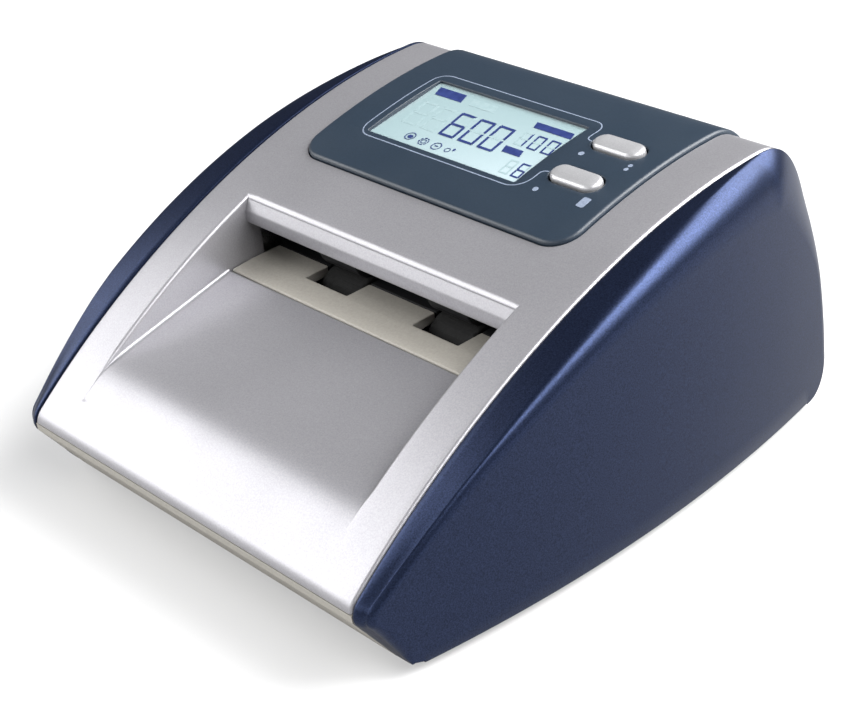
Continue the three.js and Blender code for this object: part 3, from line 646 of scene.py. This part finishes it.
def display_glass():
    to_body, width, span = display_map()
    columns, rows = 24, 12
    points = [
        [to_body(u, v) for u in np.linspace(-1.0, width + 1.0, columns)]
        for v in np.linspace(-0.8, span + 0.8, rows)
    ]
    glass = piece_from("display_glass", *grid(points, (0, 0, 1)))
    return smooth(thicken(glass, 1.2))


def lean(u, v, foot, slant):
    return u + (v - foot) * slant


def segment_shapes(u, v, width, height, thick, slant, lit):
    """The bars of one figure: a top, b and c right, d bottom, e and f left, g middle."""
    half, gap, t = height / 2, thick * 0.22, thick
    level = {"a": 0, "g": half - t / 2, "d": height - t}
    upright = {"f": (0, 0), "b": (width - t, 0), "e": (0, half), "c": (width - t, half)}
    shapes = []
    for name in lit:
        if name in level:
            y = level[name]
            cut = t * 0.75
            corners = [(gap, y), (width - gap, y), (width - cut - gap, y + t), (cut + gap, y + t)]
            if name == "d":
                corners = [(cut + gap, y), (width - cut - gap, y), (width - gap, y + t), (gap, y + t)]
            if name == "g":
                m = y + t / 2
                corners = [
                    (gap, m), (t * 0.6 + gap, y), (width - t * 0.6 - gap, y), (width - gap, m),
                    (width - t * 0.6 - gap, y + t), (t * 0.6 + gap, y + t),
                ]
        else:
            x, y = upright[name]
            top, low = y + gap, y + half - gap
            inner, outer = (x + t, x) if x == 0 else (x, x + t)
            lift = t * 0.75
            if y == 0:
                corners = [(outer, top), (inner, top + lift), (inner, low - t * 0.4), (outer, low)]
            else:
                corners = [(outer, top), (inner, top + t * 0.4), (inner, low - lift), (outer, low)]
        shapes.append([(u + lean(cx, cy, 0, slant), v + cy) for cx, cy in corners])
    return shapes


BARS_OF = {"0": "abcdef", "1": "bc", "6": "acdefg", "8": "abcdefg"}
COUNT_SIZE = {"width": 4.7, "height": 8.8, "pitch": 5.9, "thick": 0.72, "slant": 0.12}
VALUE_SIZE = {"width": 2.7, "height": 4.9, "pitch": 3.9, "thick": 0.46, "slant": 0.14}
BATCH_SIZE = {"width": 2.5, "height": 4.9, "pitch": 3.4, "thick": 0.46, "slant": 0.12}
TITLE_SLANT = 0.35


def figures(text, u, v, width, height, pitch, thick, slant):
    """The bars of a row of figures, whose first one has its top left corner at (u, v)."""
    shapes = []
    for k, figure in enumerate(text):
        shapes += segment_shapes(u + k * pitch, v, width, height, thick, slant, BARS_OF[figure])
    return shapes


def ring_shapes(u, v, radius, width, teeth=0):
    shapes = []
    count = 24
    for k in range(count):
        if teeth and k % (count // teeth) == 0:
            continue
        a, b = (2 * math.pi * (k + e) / count for e in (0, 1.02))
        quad = [(radius, a), (radius, b), (radius - width, b), (radius - width, a)]
        shapes.append([(u + r * math.cos(t), v + r * math.sin(t)) for r, t in quad])
    return shapes


def disc_shape(u, v, radius, squash=1.0):
    turn = np.linspace(0, 2 * math.pi, 21)[:-1]
    return [[(u + radius * math.cos(t), v + radius * squash * math.sin(t)) for t in turn]]


def box_shape(u0, v0, u1, v1, slant):
    corners = [(u0, v0), (u1, v0), (u1, v1), (u0, v1)]
    return [[(lean(u, v, v0, slant), v) for u, v in corners]]


def segments_piece(name, shapes, height, thickness):
    """Thin solids standing on the display's plane, one for each outline."""
    to_body, _, _ = display_map()
    points, faces = [], []
    for shape in shapes:
        start, count = len(points), len(shape)
        area = sum(a[0] * b[1] - b[0] * a[1] for a, b in zip(shape, shape[1:] + shape[:1]))
        shape = shape if area < 0 else shape[::-1]
        points += [to_body(u, v, height) for u, v in shape]
        points += [to_body(u, v, height + thickness) for u, v in shape]
        faces.append(tuple(range(start, start + count))[::-1])
        faces.append(tuple(range(start + count, start + 2 * count)))
        for k in range(count):
            n = (k + 1) % count
            faces.append((start + k, start + n, start + count + n, start + count + k))
    mesh = bpy.data.meshes.new(name)
    mesh.from_pydata((np.array(points) * MM).tolist(), [], faces)
    piece = bpy.data.objects.new(name, mesh)
    bpy.context.scene.collection.objects.link(piece)
    return piece


def display_figures():
    """The count, note value and batch figures, plain title boxes, and a row of small round signs."""
    lit = figures("600", 14.2, 7.0, **COUNT_SIZE)
    lit += figures("100", 32.9, 6.4, **VALUE_SIZE)
    lit += figures("6", 41.2, 15.7, **BATCH_SIZE)
    lit += box_shape(1.4, 1.4, 9.8, 4.2, 0.3)
    lit += box_shape(32.6, 2.6, 43.4, 4.6, TITLE_SLANT)
    lit += box_shape(32.8, 12.4, 38.0, 14.5, TITLE_SLANT)
    lit += ring_shapes(10.3, 19.2, 1.35, 0.22) + disc_shape(10.4, 19.3, 0.75, 0.8)
    lit += ring_shapes(14.7, 19.4, 1.35, 0.3, 8) + ring_shapes(14.7, 19.4, 0.72, 0.2)
    lit += ring_shapes(18.8, 19.5, 1.3, 0.22) + box_shape(18.3, 19.3, 19.3, 19.6, 0)
    lit += ring_shapes(22.2, 19.5, 0.75, 0.18) + disc_shape(23.6, 18.8, 0.32, 1.4)
    faint = figures("88", 2.4, 7.0, **COUNT_SIZE)
    faint += figures("888", 14.2, 7.0, **COUNT_SIZE)
    faint += figures("888", 32.9, 6.4, **VALUE_SIZE)
    faint += figures("88", 37.8, 15.7, **BATCH_SIZE)
    faint += box_shape(12.4, 1.8, 20.0, 4.2, 0.3)
    return (
        segments_piece("display_figures", lit, 0.05, 0.03),
        segments_piece("display_faint_figures", faint, 0.01, 0.02),
    )


# ---- keys ----
def key_cap(which):
    """A key with a rounded edge and a slightly crowned face."""
    crown = 0.16
    face = BEZEL_RAISE + 1.15 - crown

    def shape(grow):
        return pill(KEY_X, KEY_ROWS[which], KEY_SIZE[0], KEY_SIZE[1], grow, 12)

    tiers = [(shape(0.0), -1.6), (shape(0.0), 0.3)]
    for a in np.radians(np.linspace(0, 90, 9)):
        tiers.append((shape(-1.1 * (1 - math.cos(a))), face - 1.0 + math.sin(a)))
    for inset, lift in ((1.5, 0.09), (1.9, 0.14), (2.3, crown)):
        tiers.append((shape(-inset), face + lift))
    cap = plate(f"key_cap_{which}", tiers, [], 1.0)
    return smooth(cap, 50)


# ---- finishes ----
def linear(code):
    value = [int(code[k:k + 2], 16) / 255 for k in (1, 3, 5)]
    return [v / 12.92 if v <= 0.04045 else ((v + 0.055) / 1.055) ** 2.4 for v in value] + [1.0]


def add(tree, kind, inputs=None, **settings):
    """Adds a node with its settings, values and links."""
    node = tree.nodes.new(kind)
    for name, value in settings.items():
        setattr(node, name, value)
    for name, value in (inputs or {}).items():
        if isinstance(value, bpy.types.NodeSocket):
            tree.links.new(value, node.inputs[name])
        else:
            node.inputs[name].default_value = value
    return node


def finish(name, colour, **sockets):
    """A new material and the parts that a finish is built from."""
    material = bpy.data.materials.new(name)
    material.use_nodes = True
    tree = material.node_tree
    tree.nodes.clear()
    shader = add(tree, "ShaderNodeBsdfPrincipled", {"Base Color": linear(colour), **sockets})
    add(tree, "ShaderNodeOutputMaterial", {"Surface": shader.outputs["BSDF"]})
    place = add(tree, "ShaderNodeTexCoord").outputs["Object"]
    material.diffuse_color = linear(colour)
    return material, tree, shader, place


def noise(tree, place, size_mm, detail=2.0, roughness=0.5):
    scale = 1000.0 / size_mm
    return add(
        tree, "ShaderNodeTexNoise",
        {"Vector": place, "Scale": scale, "Detail": detail, "Roughness": roughness},
    ).outputs["Fac"]


def blend_colours(tree, amount, low, high):
    mix = add(tree, "ShaderNodeMix", data_type="RGBA")
    tree.links.new(amount, mix.inputs[0])
    mix.inputs[6].default_value = linear(low)
    mix.inputs[7].default_value = linear(high)
    return mix.outputs[2]


def spread(tree, value, low, high, from_low=0.3, from_high=0.7):
    return add(
        tree, "ShaderNodeMapRange",
        {"Value": value, "From Min": from_low, "From Max": from_high, "To Min": low, "To Max": high},
    ).outputs["Result"]


def bump(tree, height, depth_mm, strength=1.0, normal=None):
    inputs = {"Height": height, "Strength": strength, "Distance": depth_mm * MM}
    if normal is not None:
        inputs["Normal"] = normal
    return add(tree, "ShaderNodeBump", inputs).outputs["Normal"]


def silver_paint():
    """Silver lacquer over moulded ABS: fine aluminium flake that sparkles, a soft satin sheen."""
    material, tree, shader, place = finish(
        "silver_lacquer", "#a9a8ad", Metallic=0.6, Roughness=0.4,
        **{"Coat Weight": 0.1, "Coat Roughness": 0.3},
    )
    flake = noise(tree, place, 0.34, 3.0, 0.7)
    cloud = noise(tree, place, 26, 2.0)
    tone = blend_colours(tree, spread(tree, flake, 0, 1, 0.25, 0.75), "#8f8e92", "#a4a3a7")
    tree.links.new(tone, shader.inputs["Base Color"])
    tree.links.new(spread(tree, cloud, 0.37, 0.43), shader.inputs["Roughness"])
    peel = bump(tree, noise(tree, place, 1.6, 1.0), 0.004, 0.35)
    tree.links.new(bump(tree, flake, 0.003, 0.35, peel), shader.inputs["Normal"])
    return material


def navy_paint():
    """Dark blue metallic lacquer over moulded ABS: deep colour, fine flake, a soft gloss."""
    material, tree, shader, place = finish(
        "navy_lacquer", "#1a2338", Metallic=0.8, Roughness=0.36,
        **{"Coat Weight": 0.1, "Coat Roughness": 0.38, "Specular IOR Level": 0.2},
    )
    flake = noise(tree, place, 0.3, 3.0, 0.75)
    tone = blend_colours(tree, spread(tree, flake, 0, 1, 0.3, 0.75), "#10182b", "#2e3957")
    tree.links.new(tone, shader.inputs["Base Color"])
    tree.links.new(spread(tree, noise(tree, place, 22), 0.32, 0.38), shader.inputs["Roughness"])
    peel = bump(tree, noise(tree, place, 1.8, 1.0), 0.004, 0.3)
    tree.links.new(bump(tree, flake, 0.003, 0.4, peel), shader.inputs["Normal"])
    return material


def bezel_plastic():
    """Slate blue satin ABS with a fine spark-eroded grain, printed on top."""
    material, tree, shader, place = finish("slate_satin_abs", "#1f2a36", Roughness=0.42)
    grain = noise(tree, place, 0.35, 3.0, 0.6)
    tone = blend_colours(tree, spread(tree, grain, 0, 1), "#1c2732", "#222e3b")
    tree.links.new(tone, shader.inputs["Base Color"])
    tree.links.new(spread(tree, noise(tree, place, 12), 0.39, 0.46), shader.inputs["Roughness"])
    tree.links.new(bump(tree, grain, 0.006, 0.3), shader.inputs["Normal"])
    return material


def print_ink():
    """Pale grey pad-printing ink: thin, matt and slightly uneven."""
    material, tree, shader, place = finish("pale_printing_ink", "#76808f", Roughness=0.6)
    tone = blend_colours(tree, spread(tree, noise(tree, place, 0.5), 0, 1), "#687283", "#788293")
    tree.links.new(tone, shader.inputs["Base Color"])
    return material


def display_film():
    """Reflective liquid crystal behind a clear cover: pale blue-green, with painted light that makes it
    brighter to the near right.
    """
    material, tree, shader, place = finish(
        "reflective_display_film", "#b9cbd1", Roughness=0.35,
        **{"Coat Weight": 1.0, "Coat Roughness": 0.06},
    )
    # Painted light and shade: the film's colour runs from darker at the far left to lighter at the near
    # right.
    low, high = WINDOW_X
    split = add(tree, "ShaderNodeSeparateXYZ", {"Vector": place})
    across = spread(tree, split.outputs["X"], 0, 1, low * MM, high * MM)
    down = spread(tree, split.outputs["Y"], 1, 0, WINDOW_Y[0] * MM, WINDOW_Y[1] * MM)
    painted_light_share = add(tree, "ShaderNodeMath", {0: across, 1: down}, operation="MULTIPLY").outputs[0]
    tone = blend_colours(tree, painted_light_share, "#869b9e", "#a5b5ba")
    tree.links.new(tone, shader.inputs["Base Color"])
    tree.links.new(spread(tree, noise(tree, place, 4), 0.32, 0.38), shader.inputs["Roughness"])
    return material


def lit_segments():
    """Darkened liquid crystal: the deep blue of a figure that is switched on."""
    material, tree, shader, place = finish("display_figure_blue", "#2b3a78", Roughness=0.3)
    tone = blend_colours(tree, spread(tree, noise(tree, place, 1.2), 0, 1), "#1f2a58", "#2b3768")
    tree.links.new(tone, shader.inputs["Base Color"])
    return material


def faint_segments():
    """Liquid crystal that is off: a figure just seen against the film."""
    material, tree, shader, place = finish("display_figure_faint", "#95aaaf", Roughness=0.35)
    tone = blend_colours(tree, spread(tree, noise(tree, place, 1.2), 0, 1), "#819598", "#8a9da0")
    tree.links.new(tone, shader.inputs["Base Color"])
    return material


def key_paint():
    """Silver lacquer on a small moulded key: brighter and smoother than the cover."""
    material, tree, shader, place = finish("key_silver_lacquer", "#b7b7b9", Metallic=0.5, Roughness=0.38)
    flake = noise(tree, place, 0.25, 3.0, 0.7)
    tone = blend_colours(tree, spread(tree, flake, 0, 1), "#a4a4a6", "#b6b6b8")
    tree.links.new(tone, shader.inputs["Base Color"])
    tree.links.new(spread(tree, noise(tree, place, 5), 0.36, 0.41), shader.inputs["Roughness"])
    tree.links.new(bump(tree, flake, 0.001, 0.15), shader.inputs["Normal"])
    return material


def moulded(name, colour, low, high, grain_mm, depth_mm, roughness, specular=0.5):
    """Moulded plastic: one colour with a slight mottle, a spark-eroded grain and uneven gloss."""
    material, tree, shader, place = finish(
        name, colour, Roughness=roughness, **{"Specular IOR Level": specular}
    )
    grain = noise(tree, place, grain_mm, 4.0, 0.6)
    tree.links.new(blend_colours(tree, spread(tree, grain, 0, 1), low, high), shader.inputs["Base Color"])
    uneven = spread(tree, noise(tree, place, 14), roughness - 0.05, roughness + 0.05)
    tree.links.new(uneven, shader.inputs["Roughness"])
    tree.links.new(bump(tree, grain, depth_mm, 0.5), shader.inputs["Normal"])
    return material


def brushed(name, colour, roughness, line_mm=0.12, reach=30):
    """Ground metal: fine lines one way, with light and dark streaks along them."""
    material, tree, shader, place = finish(name, colour, Metallic=1.0, Roughness=roughness)
    stretch = add(tree, "ShaderNodeMapping", {"Vector": place, "Scale": (1.0 / reach, 1, 1)})
    lines = noise(tree, stretch.outputs["Vector"], line_mm * 3, 3.0, 0.6)
    tree.links.new(spread(tree, lines, roughness - 0.08, roughness + 0.1), shader.inputs["Roughness"])
    tree.links.new(bump(tree, lines, 0.004, 0.4), shader.inputs["Normal"])
    return material


def board_green():
    """Green solder mask over fibreglass, with paler copper tracks under it."""
    material, tree, shader, place = finish("green_solder_mask", "#1f5a38", Roughness=0.35)
    cells = add(tree, "ShaderNodeTexVoronoi", {"Vector": place, "Scale": 420.0}, distance="CHEBYCHEV")
    track = spread(tree, cells.outputs["Distance"], 0, 1, 0.3, 0.34)
    tree.links.new(blend_colours(tree, track, "#1b5032", "#2c7048"), shader.inputs["Base Color"])
    tree.links.new(bump(tree, track, 0.03, 0.3), shader.inputs["Normal"])
    return material


SILVER = silver_paint()
NAVY = navy_paint()
SLATE = bezel_plastic()
INK = print_ink()
FILM = display_film()
LIT = lit_segments()
FAINT = faint_segments()
KEY = key_paint()
BEIGE = moulded("warm_grey_abs", "#a29e96", "#9c9890", "#a8a49c", 0.6, 0.012, 0.55)
BLACK = moulded("black_abs", "#191a1c", "#161719", "#1f2022", 0.5, 0.012, 0.5)
DARK_GUIDE = moulded("black_nylon", "#131416", "#111214", "#18191b", 0.5, 0.012, 0.6, 0.35)
RUBBER = moulded("black_nitrile_rubber", "#1c1c1c", "#181818", "#232323", 0.8, 0.03, 0.82, 0.3)
ACETAL = moulded("natural_acetal", "#e3e0d6", "#dedbd1", "#e8e5dc", 0.7, 0.006, 0.42)
STEEL = brushed("ground_steel", "#b4b6b8", 0.32)
BRASS = brushed("turned_brass", "#b99a55", 0.34)
BOARD = board_green()


# ---- carried-over CAD nodes ----
def soften(node, width_mm, material):
    """Gives a CAD node its finish, and breaks its sharp edges."""
    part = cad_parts[node]
    if not part.material_slots:
        part.data.materials.append(material)
    for place in part.material_slots:
        place.material = material
    if width_mm:
        weld = part.modifiers.new("weld", "WELD")
        weld.merge_threshold = 1e-6
        edge = part.modifiers.new("edge", "BEVEL")
        edge.width = width_mm * MM
        edge.segments = 2
        edge.limit_method = "ANGLE"
        edge.angle_limit = math.radians(35)
        edge.use_clamp_overlap = True


def dress_cad_nodes():
    """The width in millimetres that each node's edges are broken by, and its finish."""
    looks = {
        "base_cover": (0.25, BEIGE), "rear_cover": (0.25, BEIGE), "entry_lip": (0.3, BEIGE),
        "lower_guide": (0.2, DARK_GUIDE), "upper_guide": (0.15, DARK_GUIDE),
        "display_frame": (0.1, BLACK), "buzzer": (0.2, BLACK), "controller_chip": (0.15, BLACK),
        "switch_frame": (0.25, BLACK), "power_rocker": (0.3, BLACK), "power_jack": (0.15, BLACK),
        "key_switch_lower": (0.1, BLACK), "key_switch_upper": (0.1, BLACK),
        "control_board": (0.0, BOARD), "main_board": (0.0, BOARD),
        "lower_sensor_board": (0.0, BOARD), "upper_sensor_board": (0.0, BOARD),
        "idler_pin": (0.1, STEEL), "motor": (0.3, STEEL), "magnetic_head": (0.2, STEEL),
        "chassis_plate_left": (0.0, STEEL), "chassis_plate_right": (0.0, STEEL),
        "data_port": (0.1, STEEL), "idler_gear": (0.08, ACETAL), "motor_pinion": (0.05, BRASS),
    }
    for end in ("front", "rear"):
        looks[f"feed_shaft_{end}"] = (0.15, STEEL)
        looks[f"feed_gear_{end}"] = (0.08, ACETAL)
        for hand in ("left", "right"):
            looks[f"feed_roller_{end}_{hand}"] = (0.3, RUBBER)
            looks[f"pinch_roller_{end}_{hand}"] = (0.25, DARK_GUIDE)
            looks[f"bushing_{end}_{hand}"] = (0.1, BRASS)
    for k in range(1, 5):
        looks[f"foot_{k}"] = (0.3, RUBBER)
        looks[f"case_screw_{k}"] = (0.1, STEEL)
    for node, (width, material) in looks.items():
        soften(node, width, material)


# ---- grip ribs round the feed rollers ----
def rib_tree():
    """Ribs set round a ring, and the ring set at each roller along a shaft."""
    tree = bpy.data.node_groups.new("roller_ribs", "GeometryNodeTree")
    kinds = {
        "Count": "NodeSocketInt", "Radius": "NodeSocketFloat", "Rib Size": "NodeSocketVector",
        "First Roller": "NodeSocketVector", "Next Roller": "NodeSocketVector",
    }
    for name, kind in kinds.items():
        tree.interface.new_socket(name=name, in_out="INPUT", socket_type=kind)
    tree.interface.new_socket(name="Geometry", in_out="OUTPUT", socket_type="NodeSocketGeometry")
    given = add(tree, "NodeGroupInput").outputs
    ring = add(tree, "GeometryNodeMeshCircle", {"Vertices": given["Count"], "Radius": given["Radius"]})
    rib = add(tree, "GeometryNodeMeshCube", {"Size": given["Rib Size"]})
    spot = add(tree, "GeometryNodeInputPosition")
    turned = add(
        tree, "FunctionNodeAlignRotationToVector", {"Vector": spot.outputs[0]},
        axis="X", pivot_axis="Z",
    )
    ribs = add(tree, "GeometryNodeInstanceOnPoints", {
        "Points": ring.outputs[0], "Instance": rib.outputs[0], "Rotation": turned.outputs[0],
    })
    upright = add(tree, "GeometryNodeTransform", {
        "Geometry": ribs.outputs[0], "Rotation": (0, math.pi / 2, 0),
    })
    shaft = add(tree, "GeometryNodeMeshLine", {
        "Count": 2, "Start Location": given["First Roller"], "Offset": given["Next Roller"],
    })
    rollers = add(tree, "GeometryNodeInstanceOnPoints", {
        "Points": shaft.outputs[0], "Instance": upright.outputs[0],
    })
    solid = add(tree, "GeometryNodeRealizeInstances", {"Geometry": rollers.outputs[0]})
    done = add(tree, "GeometryNodeSetMaterial", {"Geometry": solid.outputs[0], "Material": RUBBER})
    add(tree, "NodeGroupOutput", {"Geometry": done.outputs[0]})
    return tree


def roller_ribs(tree, end):
    (x0, y0, z0), (x1, y1, z1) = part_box(f"feed_roller_{end}_left")
    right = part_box(f"feed_roller_{end}_right")
    centre = Vector(((x0 + x1) / 2, (y0 + y1) / 2, (z0 + z1) / 2))
    sizes = {
        "Count": 26, "Radius": (z1 - z0) / 2 - 0.25 * MM,
        "Rib Size": (0.7 * MM, 0.7 * MM, x1 - x0 - 0.8 * MM),
        "First Roller": centre, "Next Roller": (right[0][0] - x0, 0, 0),
    }
    piece = bpy.data.objects.new(f"roller_ribs_{end}", bpy.data.meshes.new(f"roller_ribs_{end}"))
    bpy.context.scene.collection.objects.link(piece)
    maker = piece.modifiers.new("ribs", "NODES")
    maker.node_group = tree
    for socket in tree.interface.items_tree:
        if socket.in_out == "INPUT":
            maker[socket.identifier] = sizes[socket.name]
    return settle(piece)


# ---- the object ----
dress_cad_nodes()
ribs = rib_tree()
for end in ("front", "rear"):
    dress(roller_ribs(ribs, end), f"{end}_feed", "rubber", RUBBER)
dress(silver_cover(), "housing", "silver_paint", SILVER, "top_cover")
for hand, side in (("left", -1), ("right", 1)):
    dress(side_cheek(f"side_cheek_{hand}", side), "housing", "navy_paint", NAVY, f"side_panel_{hand}")
dress(bezel_piece(), "housing", "slate_plastic", SLATE, "display_bezel")
for mark in bezel_print():
    dress(mark, "housing", "slate_plastic", INK)
dress(display_glass(), "housing", "display_glass", FILM, "display_panel")
lit_piece, faint_piece = display_figures()
dress(lit_piece, "housing", "display_glass", LIT)
dress(faint_piece, "housing", "display_glass", FAINT)
for which in KEY_ROWS:
    dress(key_cap(which), f"key_cap_{which}", "key_silver", KEY, f"key_{which}")


# ---- floor, light and camera ----
def studio_floor():
    """A plain pale floor, with a little glow of its own that only the camera sees."""
    reach = (-6000, 6000)
    floor = piece_from("floor", *grid([[(x, y, 0) for x in reach] for y in reach], (0, 0, 1)))
    material, tree, shader, place = finish("pale_floor", "#acacac", Roughness=0.9)
    shader.inputs["Specular IOR Level"].default_value = 0.1
    shader.inputs["Emission Color"].default_value = (1, 1, 1, 1)
    seen = add(tree, "ShaderNodeLightPath").outputs["Is Camera Ray"]
    glow = add(tree, "ShaderNodeMath", {0: seen, 1: 0.36}, operation="MULTIPLY").outputs[0]
    tree.links.new(glow, shader.inputs["Emission Strength"])
    tone = blend_colours(tree, noise(tree, place, 400), "#aaaaaa", "#aeaeae")
    tree.links.new(tone, shader.inputs["Base Color"])
    floor.data.materials.append(material)


def softbox(name, direction, distance, size, radiance):
    """A rectangular lamp of even brightness, aimed at the object."""
    lamp = bpy.data.lights.new(name, "AREA")
    lamp.shape = "RECTANGLE"
    lamp.size, lamp.size_y = size
    lamp.energy = radiance * math.pi * size[0] * size[1]
    holder = bpy.data.objects.new(name, lamp)
    way = Vector(direction).normalized()
    holder.location = way * distance + Vector((0, 0, 0.03))
    holder.rotation_euler = way.to_track_quat("Z", "Y").to_euler()
    bpy.context.scene.collection.objects.link(holder)


def studio_light():
    """Five softboxes, and a world that is pale to the camera and dim to the object."""
    softbox("rim_softbox", (0.47, 0.6, 0.64), 0.95, (0.85, 0.66), 14.0)
    softbox("side_softbox", (0.69, 0.02, 0.72), 1.0, (0.8, 0.4), 9.0)
    softbox("front_softbox", (-0.67, -0.5, 0.5), 1.0, (0.8, 0.6), 5.3)
    softbox("low_front_softbox", (-0.67, -0.74, 0.2), 1.2, (0.8, 0.3), 3.5)
    softbox("front_fill", (0.0, -1.0, 0.45), 1.3, (0.9, 0.4), 3.2)
    world = bpy.data.worlds.new("studio")
    world.use_nodes = True
    tree = world.node_tree
    tree.nodes.clear()
    seen = add(tree, "ShaderNodeBackground", {"Color": (0.92, 0.92, 0.92, 1), "Strength": 1.0})
    felt = add(tree, "ShaderNodeBackground", {"Color": (0.11, 0.112, 0.12, 1), "Strength": 1.0})
    path = add(tree, "ShaderNodeLightPath")
    mix = add(tree, "ShaderNodeMixShader", {0: path.outputs["Is Camera Ray"]})
    tree.links.new(felt.outputs[0], mix.inputs[1])
    tree.links.new(seen.outputs[0], mix.inputs[2])
    add(tree, "ShaderNodeOutputWorld", {"Surface": mix.outputs[0]})
    bpy.context.scene.world = world


def camera():
    """A long lens, held by its place in millimetres and its three axes."""
    lens = bpy.data.cameras.new("camera")
    lens.sensor_width = 36.0
    lens.lens = 82.93
    lens.clip_start = 0.01
    holder = bpy.data.objects.new("camera", lens)
    right = (0.671100, 0.734508, -0.100611)
    up = (-0.307937, 0.399621, 0.863411)
    back = (0.674389, -0.548453, 0.494368)
    place = Vector((283.27, -229.63, 228.12)) * MM
    turn = Matrix((right, up, back)).transposed().to_4x4()
    holder.matrix_world = Matrix.Translation(place) @ turn
    bpy.context.scene.collection.objects.link(holder)
    bpy.context.scene.camera = holder


studio_floor()
studio_light()
camera()
bpy.context.scene.view_settings.view_transform = "Standard"
